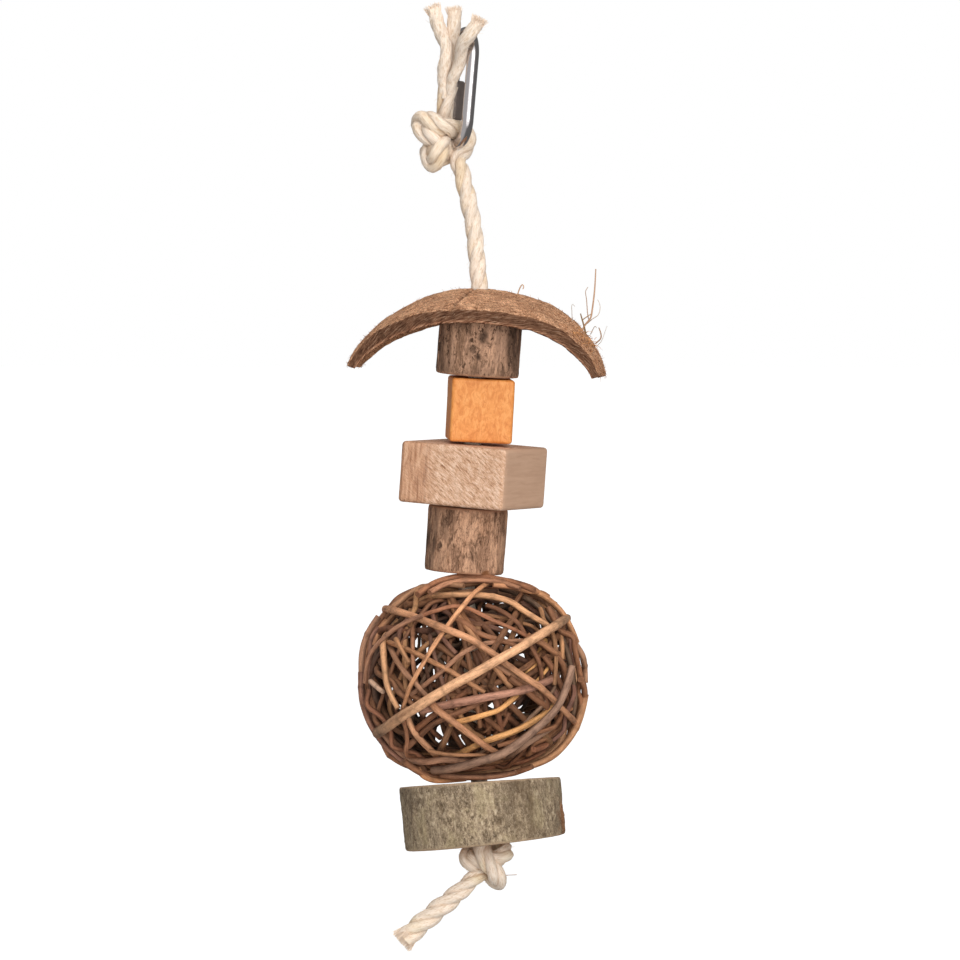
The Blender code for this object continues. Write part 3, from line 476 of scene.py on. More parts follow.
def make_mottled():
    n = Nodes("slice_bark")
    v = mm_coords(n)
    sep = n.add("ShaderNodeSeparateColor")
    n.link(n.attr(), sep.inputs[0])
    big = n.noise(n.mapping(v, (0.13, 0.13, 0.10)), 1.0, 6.0, 0.62, 0.4)
    bands = n.noise(n.mapping(v, (0.30, 0.30, 0.03)), 1.0, 5.0, 0.6)
    mid = n.noise(n.mapping(v, (0.85, 0.85, 0.52)), 1.0, 7.0, 0.72, 0.3)
    fine = n.noise(n.mapping(v, (2.3, 2.3, 1.7)), 1.0, 5.0, 0.74)
    spot = n.voronoi(n.mapping(v, (0.42, 0.42, 0.50)), 1.0)
    c = n.ramp(mid, [(0.36, (0.090, 0.062, 0.040)), (0.46, (0.260, 0.188, 0.118)), (0.54, (0.410, 0.305, 0.195)), (0.66, (0.66, 0.53, 0.37))])
    c = n.mix(n.span(big, 0.38, 0.48, 0.60, 0.0), c, (0.150, 0.104, 0.066))
    c = n.mix(n.span(big, 0.53, 0.64, 0.0, 0.45), c, (0.43, 0.34, 0.19))
    c = n.mix(n.span(bands, 0.52, 0.66, 0.0, 0.40), c, (0.50, 0.385, 0.26))
    c = n.mix(n.span(bands, 0.38, 0.48, 0.50, 0.0), c, (0.165, 0.118, 0.076))
    c = n.mix(n.span(fine, 0.36, 0.46, 0.50, 0.0), c, (0.090, 0.060, 0.040))
    c = n.mix(n.span(fine, 0.54, 0.64, 0.0, 0.5), c, (0.66, 0.52, 0.37))
    c = n.mix(n.span(spot, 0.06, 0.13, 0.40, 0.0), c, (0.090, 0.062, 0.044))
    crack = n.math("SUBTRACT", n.noise(n.mapping(v, (0.62, 0.62, 0.11)), 1.0, 7.0, 0.62, 0.5), 0.5)
    c = n.mix(n.math("MULTIPLY", n.span(n.math("MULTIPLY", crack, crack), 0.00003, 0.00020, 0.75, 0.0), n.span(big, 0.42, 0.60, 1.0, 0.1)), c, (0.075, 0.050, 0.030))
    c = n.mix(sep.outputs[1], c, (0.110, 0.068, 0.036))
    c = n.mix(n.math("MULTIPLY", sep.outputs[2], 0.75), c, (0.52, 0.36, 0.23))
    c = n.mix(sep.outputs[0], c, n.ramp(fine, [(0.36, (0.10, 0.042, 0.020)), (0.62, (0.40, 0.205, 0.105))]))
    h = n.math("ADD", n.math("MULTIPLY", mid, 0.55), n.math("MULTIPLY", fine, 0.45))
    nor = n.bump(h, 0.8, 0.0009)
    return n.done(c, 0.88, nor, Specular_IOR_Level=0.18)


def make_end_grain(name, pale, ring, heart):
    n = Nodes(name)
    v = mm_coords(n)
    warp = n.noise(n.mapping(v, (0.10, 0.10, 0.10)), 1.0, 2.0)
    rings = n.wave(n.mapping(v, (1, 1, 0.0)), 0.16, 1.6, 2.0, 0.25, "RINGS", "Z")
    fine = n.noise(n.mapping(v, (2.5, 2.5, 0.6)), 1.0, 5.0, 0.7)
    saw = n.noise(n.mapping(v, (0.35, 3.2, 1.0)), 1.0, 4.0, 0.6)
    c = n.ramp(rings, [(0.0, ring), (0.5, pale), (1.0, pale)])
    c = n.mix(n.span(warp, 0.4, 0.7, 0.0, 0.35), c, heart)
    c = n.mix(n.span(fine, 0.32, 0.5, 0.4, 0.0), c, ring)
    nor = n.bump(saw, 0.5, 0.0005)
    return n.done(c, 0.85, nor, Specular_IOR_Level=0.2)


def make_orange():
    n = Nodes("orange_wood")
    v = mm_coords(n)
    curl = n.noise(n.mapping(v, (0.35, 0.35, 0.22)), 1.0, 6.0, 0.62, 1.4)
    fleck = n.noise(n.mapping(v, (1.1, 1.1, 0.42)), 1.0, 5.0, 0.7, 0.8)
    pore = n.noise(n.mapping(v, (4.5, 4.5, 0.8)), 1.0, 3.0, 0.6)
    c = n.ramp(curl, [(0.36, (0.62, 0.205, 0.042)), (0.47, (0.73, 0.275, 0.066)), (0.58, (0.80, 0.335, 0.095))])
    c = n.mix(n.span(fleck, 0.53, 0.62, 0.0, 0.6), c, (0.56, 0.165, 0.030))
    c = n.mix(n.span(pore, 0.38, 0.46, 0.30, 0.0), c, (0.48, 0.135, 0.024))
    nor = n.bump(n.math("ADD", n.math("MULTIPLY", fleck, 0.5), n.math("MULTIPLY", pore, 0.5)), 0.28, 0.0005)
    return n.done(c, 0.52, nor, Specular_IOR_Level=0.35)


def make_sawn():
    n = Nodes("sawn_wood")
    v = mm_coords(n)
    flat = n.mapping(v, (1, 1, 1), (0, 0, math.radians(-BLOCK_YAW)))
    tilt = n.mapping(flat, (1, 1, 1), (0, math.radians(-38), 0))
    fleck = n.noise(n.mapping(tilt, (0.42, 1.2, 1.9)), 1.0, 6.0, 0.7, 0.25)
    grain = n.noise(n.mapping(flat, (0.07, 0.07, 0.9)), 1.0, 6.0, 0.62, 0.3)
    fuzz = n.noise(n.mapping(flat, (2.4, 2.4, 2.4)), 1.0, 5.0, 0.7)
    sep = n.add("ShaderNodeSeparateColor")
    n.link(n.attr(), sep.inputs[0])
    rough_face, band, smooth_face = sep.outputs[0], sep.outputs[1], sep.outputs[2]
    c = n.ramp(fleck, [(0.36, (0.33, 0.165, 0.088)), (0.45, (0.62, 0.365, 0.225)), (0.53, (0.73, 0.465, 0.315)), (0.66, (0.92, 0.68, 0.52))])
    patch = n.noise(n.mapping(flat, (0.22, 0.22, 0.06)), 1.0, 4.0, 0.6, 0.3)
    c = n.mix(n.span(patch, 0.40, 0.50, 0.30, 0.0), c, (0.50, 0.275, 0.16))
    c = n.mix(n.span(patch, 0.54, 0.64, 0.0, 0.35), c, (0.88, 0.64, 0.48))
    c = n.mix(n.span(fuzz, 0.37, 0.47, 0.45, 0.0), c, (0.40, 0.205, 0.115))
    planed = n.ramp(grain, [(0.34, (0.565, 0.345, 0.228)), (0.50, (0.61, 0.382, 0.254)), (0.68, (0.645, 0.41, 0.277))])
    c = n.mix(smooth_face, c, planed)
    upright = n.noise(n.mapping(flat, (0.9, 0.9, 0.12)), 1.0, 6.0, 0.66, 0.4)
    dark = n.ramp(upright, [(0.37, (0.30, 0.130, 0.064)), (0.47, (0.50, 0.255, 0.145)), (0.55, (0.60, 0.33, 0.195)), (0.66, (0.74, 0.46, 0.30))])
    c = n.mix(n.math("MULTIPLY", band, 0.85), c, dark)
    h = n.math("ADD", n.math("MULTIPLY", fleck, rough_face), n.math("MULTIPLY", grain, 0.35))
    nor = n.bump(h, 0.7, 0.0007)
    return n.done(c, 0.82, nor, Specular_IOR_Level=0.22)


def make_willow():
    n = Nodes("willow")
    uv = n.coords("UV")
    tint = n.attr()
    stripe = n.noise(n.mapping(uv, (5.0, 0.11, 1.0)), 1.0, 6.0, 0.62, 0.2)
    fine = n.noise(n.mapping(uv, (16.0, 0.7, 1.0)), 1.0, 5.0, 0.7)
    patch = n.noise(n.mapping(uv, (1.2, 0.085, 1.0)), 1.0, 4.0, 0.6)
    speck = n.voronoi(n.mapping(uv, (7.0, 0.55, 1.0)), 1.0)
    c = n.mix(1.0, tint, n.ramp(stripe, [(0.29, (0.42, 0.36, 0.32)), (0.46, (0.92, 0.90, 0.88)), (0.56, (1.14, 1.12, 1.09)), (0.70, (1.42, 1.40, 1.36))]), "MULTIPLY")
    c = n.mix(n.span(patch, 0.55, 0.75, 0.0, 0.45), c, n.mix(1.0, tint, (0.58, 0.50, 0.48), "MULTIPLY"))
    c = n.mix(n.span(fine, 0.34, 0.46, 0.60, 0.0), c, n.mix(1.0, tint, (0.36, 0.30, 0.27), "MULTIPLY"))
    c = n.mix(n.span(fine, 0.56, 0.66, 0.0, 0.5), c, n.mix(1.0, tint, (1.55, 1.52, 1.48), "MULTIPLY"))
    c = n.mix(n.span(speck, 0.05, 0.11, 0.65, 0.0), c, n.mix(1.0, tint, (0.30, 0.24, 0.21), "MULTIPLY"))
    h = n.math("ADD", n.math("MULTIPLY", stripe, 0.5), n.math("MULTIPLY", fine, 0.5))
    nor = n.bump(h, 0.85, 0.0007)
    return n.done(c, 0.60, nor, Specular_IOR_Level=0.28)


CHROME, NUT_MAT = make_chrome(), make_nut()
SISAL = make_sisal("sisal", (0.95, 0.825, 0.700), (0.85, 0.690, 0.545), (0.58, 0.405, 0.245))
SISAL_HAIR = make_hair("sisal_hair", ((0.95, 0.82, 0.67), (0.98, 0.88, 0.75)))
HUSK_MAT, HUSK_CUT = make_husk(), make_husk_cut()
HUSK_HAIR = make_hair("husk_hair", ((0.9, 0.9, 0.9), (1.0, 1.0, 1.0)))
BARK1 = make_bark("bark_upper", (0.080, 0.042, 0.025), (0.30, 0.165, 0.098), (0.47, 0.27, 0.17), (0.45, 0.27, 0.18), (3.0, 11.0, 2.0))
BARK2 = make_bark("bark_lower", (0.10, 0.050, 0.029), (0.39, 0.207, 0.120), (0.57, 0.325, 0.20), (0.54, 0.325, 0.21), (40.0, 7.0, 31.0), 0.50)
LOG_END = make_end_grain("log_end", (0.62, 0.42, 0.27), (0.36, 0.20, 0.11), (0.50, 0.29, 0.16))
SLICE_MAT = make_mottled()
SLICE_END = make_end_grain("slice_end", (0.66, 0.46, 0.30), (0.42, 0.25, 0.14), (0.50, 0.30, 0.17))
ORANGE, SAWN, WILLOW = make_orange(), make_sawn(), make_willow()


def dress(obj, body, slot, *nodes):
    """Put a finished piece on its body and hide the nodes it stands for; the colour slot is not used."""
    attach(obj, body)
    if nodes:
        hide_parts(*nodes)
    return obj


def set_pose(obj, centre, rot):
    m = Matrix([[*(float(c) for c in rot[k]), float(centre[k]) * MM] for k in range(3)] + [[0, 0, 0, 1]])
    obj.matrix_world = m
    bpy.context.view_layer.update()


def hairs(shape, start, way, length, radius, droop, col, stations=6, wave=0.25, seed=1):
    """Many thin tapering fibres at once; droop pulls their tips along a vector, wave makes them wander."""
    n = len(start)
    rng = np.random.default_rng(seed)
    f = np.linspace(0.0, 1.0, stations)
    way = way / np.linalg.norm(way, axis=1)[:, None]
    s1 = rng.normal(size=(n, 3))
    s1 = s1 - way * np.sum(s1 * way, axis=1)[:, None]
    s1 = s1 / np.linalg.norm(s1, axis=1)[:, None]
    s2 = np.cross(way, s1)
    ph = rng.uniform(0, 6.28, n)
    k = rng.uniform(2.0, 5.0, n)
    line = (start[:, None, :] + way[:, None, :] * (length[:, None] * f)[..., None]
            + droop[:, None, :] * (length[:, None] * f ** 2)[..., None]
            + s1[:, None, :] * (wave * length[:, None] * f * np.sin(k[:, None] * f + ph[:, None]))[..., None])
    r = radius[:, None] * (1.0 - 0.6 * f[None, :])
    ring = []
    for q in range(3):
        a = 2 * math.pi * q / 3
        ring.append(line + r[..., None] * (math.cos(a) * s1 + math.sin(a) * s2)[:, None, :])
    p = np.stack(ring, axis=2)                       # hair, station, side, xyz
    c = np.repeat(np.asarray(col, float)[:, None, :], stations * 3, axis=1).reshape(-1, 4)
    first = shape.points(p.reshape(-1, 3), None, c)
    base = first + np.arange(n)[:, None, None] * (stations * 3)
    st = np.arange(stations - 1)[None, :, None] * 3
    side = np.arange(3)[None, None, :]
    nxt = (side + 1) % 3
    quads = np.stack([base + st + side, base + st + nxt, base + st + 3 + nxt, base + st + 3 + side], axis=-1).reshape(-1, 4)
    shape.faces(quads)
    b0 = first + np.arange(n) * (stations * 3)
    e0 = b0 + (stations - 1) * 3
    shape.faces(np.stack([b0 + 2, b0 + 1, b0], axis=1))
    shape.faces(np.stack([e0, e0 + 1, e0 + 2], axis=1))


# ---------------------------------------------------------------- quick link
LINK_LEN, LINK_LEG, LINK_LEAN, LINK_YAW, WIRE_R = 41.0, 16.0, 4.8, 21.0, 2.0
NUT_AF, NUT_LEN, NUT_LOW, NUT_GRIP, LINK_MOUTH = 6.8, 12.4, 0.6, 1.6, 4.6
LINK_M = np.array(Matrix.Rotation(math.radians(LINK_LEAN), 3, "Y") @ Matrix.Rotation(math.radians(-90.0 + LINK_YAW), 3, "Z"))
LINK_HALF = LINK_LEN / 2 - WIRE_R
LINK_MID = -LINK_M[:, 2] * (LINK_HALF - WIRE_R)
LINK_STRAIGHT = LINK_HALF - LINK_LEG / 2


def link_point(x, z):
    return LINK_MID + LINK_M @ np.array([x, 0.0, z])


def make_link():
    r = LINK_LEG / 2
    low = -LINK_STRAIGHT + NUT_LOW + NUT_GRIP
    fine = lambda a, b, step: np.linspace(a, b, max(2, int(abs(b - a) / step) + 1))
    pts = [(-r, z) for z in fine(low + LINK_MOUTH, low + LINK_MOUTH + 9.5, 0.13)]
    pts += [(-r, z) for z in fine(low + LINK_MOUTH + 9.9, LINK_STRAIGHT, 0.8)]
    pts += [(r * math.cos(a), LINK_STRAIGHT + r * math.sin(a)) for a in np.linspace(math.pi, 0.0, 40)[1:-1]]
    pts += [(r, z) for z in fine(LINK_STRAIGHT, -LINK_STRAIGHT, 0.9)]
    pts += [(r * math.cos(a), -LINK_STRAIGHT + r * math.sin(a)) for a in np.linspace(0.0, -math.pi, 40)[1:-1]]
    pts += [(-r, z) for z in fine(-LINK_STRAIGHT, low, 0.13)]
    p = np.array([link_point(*q) for q in pts])
    s = arc_length(p)
    rad = np.full(len(p), WIRE_R)
    sides = 28
    a = np.arange(sides) / sides
    thread = 0.11 * np.abs(2.0 * ((s[:, None] / 0.8 + a[None, :]) % 1.0) - 1.0)
    end = s[-1] - 2.0
    keep = np.clip((9.3 - s) / 0.4, 0.0, 1.0) + np.clip((s - end) / 0.4, 0.0, 1.0)
    rad = rad[:, None] - 0.02 - thread * keep[:, None]
    shape = Shape()
    bar(shape, p, rad, sides, first=LINK_M[:, 1])
    return dress(shape.object("link_wire", [CHROME], 60.0), "quick_link", "link_steel", "quick_link_wire")


def bead(outline, normal, hole_r, height, edge, nz, z_mid=0.0, tilt=(0.0, 0.0), wall=None, mask=None, face=None, top_edge=None,
         hole_steps=6, wall_pow=1.0, soft_top=None):
    """Drilled bead in its own axes: end faces, eased rims, wall and bore as one closed skin."""
    m = len(outline)
    a = np.arctan2(outline[:, 1], outline[:, 0])
    hole = hole_r * np.stack([np.cos(a), np.sin(a)], axis=1)
    h = height / 2
    rows = []                                   # flat position (m x 2), inset, z, kind
    kinds = []
    inner = outline - normal * edge
    for f in np.linspace(0.0, 1.0, 9)[:-1]:
        rows.append((hole * (1 - f) + inner * f, -h)); kinds.append(1)
    for q in np.linspace(0.0, 0.5 * math.pi, 5):
        rows.append((outline - normal * (edge * (1 - math.sin(q))), -h + edge * (1 - math.cos(q)))); kinds.append(0)
    for z in np.linspace(-h + edge, h - edge, nz)[1:-1]:
        rows.append((outline, z)); kinds.append(0)
    for q in np.linspace(0.5 * math.pi, 0.0, 5):
        rows.append((outline - normal * (edge * (1 - math.sin(q))), h - edge * (1 - math.cos(q)))); kinds.append(0)
    for f in np.linspace(1.0, 0.0, 9)[1:]:
        rows.append((hole * (1 - f) + inner * f, h)); kinds.append(2)
    for z in np.linspace(h, -h, hole_steps)[1:-1]:
        rows.append((hole, z)); kinds.append(3)
    kinds = np.array(kinds)
    p = np.zeros((len(rows), m, 3))
    for k, (flat, z) in enumerate(rows):
        p[k, :, :2] = flat
        p[k, :, 2] = z
    around = np.concatenate([[0.0], np.cumsum(np.linalg.norm(np.diff(outline, axis=0), axis=1))])
    col = np.zeros((len(rows), m, 4)); col[..., 3] = 1.0
    uv = np.zeros((len(rows), m, 2))
    w = kinds == 0
    uv[..., 0] = around[None, :]
    uv[..., 1] = p[..., 2]
    uv[~w] = p[~w][..., :2]
    if mask is not None:
        col[w] = mask(p[w].reshape(-1, 3), np.tile(normal, (int(w.sum()), 1)), np.broadcast_to(around, (int(w.sum()), m)).reshape(-1)).reshape(int(w.sum()), m, 4)
    if wall is not None:
        d = wall(p[w].reshape(-1, 3), np.tile(normal, (int(w.sum()), 1))).reshape(int(w.sum()), m)
        q = p[w]
        q[..., :2] += d[..., None] * normal[None]
        p[w] = q
        for rim, kind in ((np.nonzero(w)[0][0], 1), (np.nonzero(w)[0][-1], 2)):
            sel = np.nonzero(kinds == kind)[0]
            shift = p[rim, :, :2] - (outline - normal * edge)
            fs = np.linspace(0.0, 1.0, 9)[:-1] if kind == 1 else np.linspace(1.0, 0.0, 9)[1:]
            for k, f in zip(sel, fs):
                p[k, :, :2] += shift * f
    if face is not None:
        for kind, sign in ((1, -1.0), (2, 1.0)):
            sel = kinds == kind
            p[sel, :, 2] += sign * face(p[sel].reshape(-1, 3)).reshape(int(sel.sum()), m)
    top = np.clip((p[..., 2] + h) / (2 * h), 0.0, 1.0) ** wall_pow
    p[..., 2] -= top * (p[..., 0] * math.tan(math.radians(tilt[0])) - p[..., 1] * math.tan(math.radians(tilt[1])))
    p[..., 2] += z_mid
    shape = Shape()
    k = shape.points(p.reshape(-1, 3), uv.reshape(-1, 2), col.reshape(-1, 4))
    n_rows = len(rows)
    r, c = np.meshgrid(np.arange(n_rows), np.arange(m), indexing="ij")
    r1, c1 = (r + 1) % n_rows, (c + 1) % m
    q = np.stack([r * m + c, r * m + c1, r1 * m + c1, r1 * m + c], axis=-1)
    is_wall = w & np.roll(w, -1)
    shape.faces(q[is_wall].reshape(-1, 4), 0)
    shape.faces(q[~is_wall].reshape(-1, 4), 1)
    return shape


def round_outline(radius, m, lumps):
    a = 2 * math.pi * np.arange(m) / m
    wob = 1.0 + sum(amp * np.sin(n * a + ph) for n, amp, ph in lumps)
    p = radius * wob[:, None] * np.stack([np.cos(a), np.sin(a)], axis=1)
    t = np.roll(p, -1, axis=0) - np.roll(p, 1, axis=0)
    t = t / np.linalg.norm(t, axis=1)[:, None]
    return p, np.stack([t[:, 1], -t[:, 0]], axis=1)


def sided_outline(sides, apothem, corner, along, turn=0.0, off=(0.0, 0.0)):
    """Regular sided outline with rounded corners, as points and outward normals."""
    pts, nor = [], []
    half = apothem * math.tan(math.pi / sides)
    cut_len = corner * math.tan(math.pi / sides)
    for k in range(sides):
        a = turn + 2 * math.pi * k / sides
        n = np.array([math.cos(a), math.sin(a)])
        t = np.array([-math.sin(a), math.cos(a)])
        for f in np.linspace(-1.0, 1.0, along):
            pts.append(n * apothem + t * f * (half - cut_len)); nor.append(n)
        c = n * (apothem - corner) + t * (half - cut_len)
        for f in np.linspace(0.0, 1.0, 6)[1:-1]:
            b = a + f * 2 * math.pi / sides
            m = np.array([math.cos(b), math.sin(b)])
            pts.append(c + corner * m); nor.append(m)
    return np.array(pts) + np.array(off), np.array(nor)


def make_nut_piece():
    p, nor = sided_outline(6, NUT_AF / 2, 0.7, 6, math.radians(30))
    shape = bead(p, nor, WIRE_R + 0.35, NUT_LEN + 1.0, 0.95, 10)
    obj = shape.object("link_nut_piece", [NUT_MAT, NUT_MAT], 32.0)
    mid = link_point(-LINK_LEG / 2, -LINK_STRAIGHT + NUT_LOW + NUT_LEN / 2 - 0.5)
    set_pose(obj, mid, LINK_M)
    return dress(obj, "link_nut", "nut_steel", "quick_link_nut")


# ---------------------------------------------------------------- beads
def knots(p, spots):
    """Bumps and dark centres of bark knots at (angle, height, size)."""
    a = np.degrees(np.arctan2(p[:, 1], p[:, 0]))
    r = np.hypot(p[:, 0], p[:, 1])
    lift, dark = np.zeros(len(p)), np.zeros(len(p))
    for ang, z, size in spots:
        d = np.hypot(np.radians((a - ang + 180) % 360 - 180) * r, (p[:, 2] - z) * 0.8) / size
        lift += 0.45 * np.exp(-((d - 1.1) / 0.45) ** 2) - 0.35 * np.exp(-(d / 0.6) ** 2)
        dark = np.maximum(dark, np.exp(-(np.maximum(d + 0.45 * fbm(p * 0.9, 3, 57), 0.0) / 0.95) ** 3))
    return lift, dark


def make_log(name, body, node, mat, centre, lean, radius, height, lumps, spots, seed, chips=(), stains_and_edge_shade=()):
    p, nor = round_outline(radius - 0.15, 200, lumps)

    def wall(q, n):
        ridge = fbm(q * np.array([0.55, 0.55, 0.06]), 4, seed)
        fine = fbm(q * np.array([1.9, 1.9, 0.22]), 3, seed + 5)
        d = 0.42 * ridge + 0.16 * fine + knots(q, spots)[0]
        rim = np.clip((np.abs(q[:, 2]) - (height / 2 - 1.6)) / 1.6, 0, 1)
        d -= rim * (0.22 + 0.35 * np.clip(fbm(q * np.array([0.5, 0.5, 0.5]), 2, seed + 9), 0, 1))
        for ang, z, wide, tall in chips:
            a = np.degrees(np.arctan2(q[:, 1], q[:, 0]))
            e = np.hypot(((a - ang + 180) % 360 - 180) / wide, (q[:, 2] - z) / tall)
            d -= 0.9 * np.clip(1.2 - e, 0, 1)
        return d

    def mask(q, n, s):
        c = np.zeros((len(q), 4)); c[:, 3] = 1
        c[:, 1] = 0.85 * knots(q, spots)[1]
        # dark patches into the green channel; the broad ones on the log's left and right sides, as seen from the front,
        # are painted shade on its round sides
        for ang, z, wide, tall, much in stains_and_edge_shade:
            a = np.degrees(np.arctan2(q[:, 1], q[:, 0]))
            e = np.hypot(((a - ang + 180) % 360 - 180) / wide, (q[:, 2] - z) / tall)
            blot = np.clip(0.5 + 1.6 * fbm(q * np.array([0.35, 0.35, 0.16]), 4, seed + 11), 0, 1)
            c[:, 1] = np.maximum(c[:, 1], much * np.clip(1.3 - e, 0, 1) * blot)
        edge = height / 2 - 0.9 + 0.35 * fbm(q * 0.6, 2, seed + 3)
        c[:, 2] = np.clip((np.abs(q[:, 2]) - edge) / 0.4, 0, 1)
        for ang, z, wide, tall in chips:
            a = np.degrees(np.arctan2(q[:, 1], q[:, 0]))
            e = np.hypot(((a - ang + 180) % 360 - 180) / wide, (q[:, 2] - z) / tall)
            c[:, 0] = np.maximum(c[:, 0], np.clip((1.15 - e) * 4, 0, 1))
        return c

    def face(q):
        return 0.10 * fbm(q * np.array([0.4, 2.2, 1.0]), 3, seed + 7)

    shape = bead(p, nor, HOLE_R - 0.5, height, 0.55, 56, wall=wall, mask=mask, face=face)
    obj = shape.object(name, [mat, LOG_END], 38.0)
    set_pose(obj, centre, basis(lean, STACK_PITCH))
    return dress(obj, body, "bark", node)


def make_slice():
    p, nor = round_outline(SLICE_R - 0.1, 300, [(2, 0.008, 0.0), (3, 0.006, 1.0)])
    spots = [(-118, 2.5, 1.5), (-78, -3.0, 1.2), (-52, 4.0, 1.6), (-140, -4.0, 1.2), (-20, 3.0, 1.4), (60, 1.0, 2.2), (110, -3.0, 1.8), (165, 2.0, 2.0), (-100, 6.0, 1.0)]

    def chip(q):
        a = np.degrees(np.arctan2(q[:, 1], q[:, 0]))
        ragged = 0.45 * fbm(q * 0.5, 4, 91)
        e = np.hypot(((a + 4 + 180) % 360 - 180) / 19.0, (q[:, 2] + 4.4) / 8.0)
        e2 = np.hypot(((a - 140 + 180) % 360 - 180) / 11.0, (q[:, 2] - 6.0) / 4.5)
        return np.clip((1.0 + ragged - np.minimum(e, e2)) * 2.4, 0, 1)

    def wall(q, n):
        d = 0.30 * fbm(q * 0.22, 3, 71) + 0.26 * fbm(q * 0.85, 4, 72) + 0.7 * knots(q, spots)[0]
        d -= chip(q) * (0.40 + 1.25 * fbm(q * np.array([0.9, 0.9, 0.25]), 3, 77))
        rim = np.clip((np.abs(q[:, 2]) - (SLICE_H / 2 - 1.3)) / 1.3, 0, 1)
        return d - rim * (0.15 + 0.55 * np.clip(fbm(q * 0.30, 3, 73), 0, 1))

    def mask(q, n, s):
        c = np.zeros((len(q), 4)); c[:, 3] = 1
        c[:, 0] = chip(q)
        a = np.degrees(np.arctan2(q[:, 1], q[:, 0]))
        blot = np.clip(0.35 + 1.5 * fbm(q * np.array([0.20, 0.20, 0.13]), 4, 98), 0, 1)
        c[:, 1] = 0.55 * knots(q, spots)[1] * np.clip(0.55 + fbm(q * 0.7, 3, 97), 0, 1)
        c[:, 1] = np.maximum(c[:, 1], 0.95 * blot * np.clip((a + 74) / 24, 0, 1) * np.clip((60 - a) / 30, 0, 1) * (1.0 - 0.85 * np.clip((a + 38) / 9, 0, 1)))
        edge = SLICE_H / 2 - 0.75 + 0.4 * fbm(q * 0.35, 3, 75)
        c[:, 2] = np.clip((np.abs(q[:, 2]) - edge) / 0.45, 0, 1)
        return c

    def face(q):
        return 0.14 * fbm(q * np.array([0.3, 1.8, 1.0]), 3, 79)

    shape = bead(p, nor, HOLE_R - 0.5, SLICE_H, 0.6, 60, wall=wall, mask=mask, face=face,
                 tilt=(SLICE_TOP_LEAN - SLICE_LEAN, SLICE_TOP_PITCH - LOW_PITCH))
    obj = shape.object("slice_piece", [SLICE_MAT, SLICE_END], 38.0)
    set_pose(obj, SLICE_C, basis(SLICE_LEAN, LOW_PITCH))
    return dress(obj, "slice", "slice_bark", "bark_slice")


def make_square(name, body, node, slot, mats, centre, hole, lean, yaw, width, height, corner, edge, wall, mask, face):
    off = basis(lean, STACK_PITCH).T @ (centre - hole)
    p, nor = sided_outline(4, width / 2, corner, 40, math.radians(yaw), off[:2])
    shape = bead(p, nor, HOLE_R - 0.5, height, edge, 44, z_mid=off[2], wall=wall, mask=mask, face=face)
    obj = shape.object(name, mats, 38.0)
    set_pose(obj, hole, basis(lean, STACK_PITCH))
    return dress(obj, body, slot, node)


def cube_wall(q, n):
    return -0.10 + 0.07 * fbm(q * 0.22, 2, 41) + 0.03 * fbm(q * np.array([1.4, 1.4, 0.6]), 3, 42)


def cube_face(q):
    return 0.04 * fbm(q * np.array([1.2, 1.2, 1.0]), 3, 43)


def block_wall(q, n):
    turn = math.radians(-BLOCK_YAW)
    lx = q[:, 0] * math.cos(turn) - q[:, 1] * math.sin(turn)
    nx = n[:, 0] * math.cos(turn) - n[:, 1] * math.sin(turn)
    ny = n[:, 0] * math.sin(turn) + n[:, 1] * math.cos(turn)
    rough = np.abs(ny) > 0.5
    tilt = np.stack([lx * 0.8 + q[:, 2] * 0.6, q[:, 1], -lx * 0.6 + q[:, 2] * 0.8], axis=1)
    saw = fbm(tilt * np.array([0.35, 0.8, 1.5]), 4, 51)
    return -0.12 + np.where(rough, 0.13 * saw, 0.03 * saw) + 0.06 * fbm(q * 0.12, 2, 53)


def block_mask(q, n, s):
    turn = math.radians(-BLOCK_YAW)
    lx = q[:, 0] * math.cos(turn) - q[:, 1] * math.sin(turn)
    ny = n[:, 0] * math.sin(turn) + n[:, 1] * math.cos(turn)
    nx = n[:, 0] * math.cos(turn) - n[:, 1] * math.sin(turn)
    c = np.zeros((len(q), 4)); c[:, 3] = 1
    c[:, 0] = 0.25 + 0.75 * (np.abs(ny) > 0.5)
    c[:, 1] = (ny < -0.5) * np.clip((-6.2 + 2.2 * fbm(np.stack([lx * 0.35, lx * 0, q[:, 2] * 0.10], 1), 3, 55) - lx) / 4.5, 0, 1)
    c[:, 2] = np.clip((np.abs(nx) - 0.6) / 0.3, 0, 1)
    return c


def block_face(q):
    return 0.08 * fbm(q * np.array([0.25, 1.6, 1.0]), 3, 57)


# ---------------------------------------------------------------- coconut husk
HUSK_M = basis(HUSK_ROLL, STACK_PITCH, HUSK_YAW)
HUSK_SPAN = HUSK_A * math.sqrt(1.0 - (1.0 - HUSK_DROP / HUSK_B) ** 2)


def husk_point(u, v, deep):
    """Point of the shell: u along the arch -1..1, v across -1..1, deep under its outer skin; with its outward normal."""
    a = math.asin(HUSK_SPAN / HUSK_A) * u
    x = HUSK_A * np.sin(a)
    half = HUSK_HALF + (HUSK_HALF_END - HUSK_HALF) * (np.abs(x) / HUSK_A) ** 2.2
    y = half * v
    n = np.stack([x / HUSK_A ** 2, np.zeros_like(x), np.cos(a) / HUSK_B], axis=-1)
    n = n / np.linalg.norm(n, axis=-1)[..., None]
    sink = y * y / (2.0 * HUSK_CROSS_R)
    bow = 1.05 * np.sin(math.pi * u) * np.clip((np.abs(u) - 0.15) / 0.30, 0, 1)
    p = np.stack([x, y, -HUSK_B * (1.0 - np.cos(a))], axis=-1) + n * (bow - sink)[..., None]
    m = n + np.stack([np.zeros_like(x), y / HUSK_CROSS_R, np.zeros_like(x)], axis=-1)
    m = m / np.linalg.norm(m, axis=-1)[..., None]
    return p - m * np.asarray(deep)[..., None], m


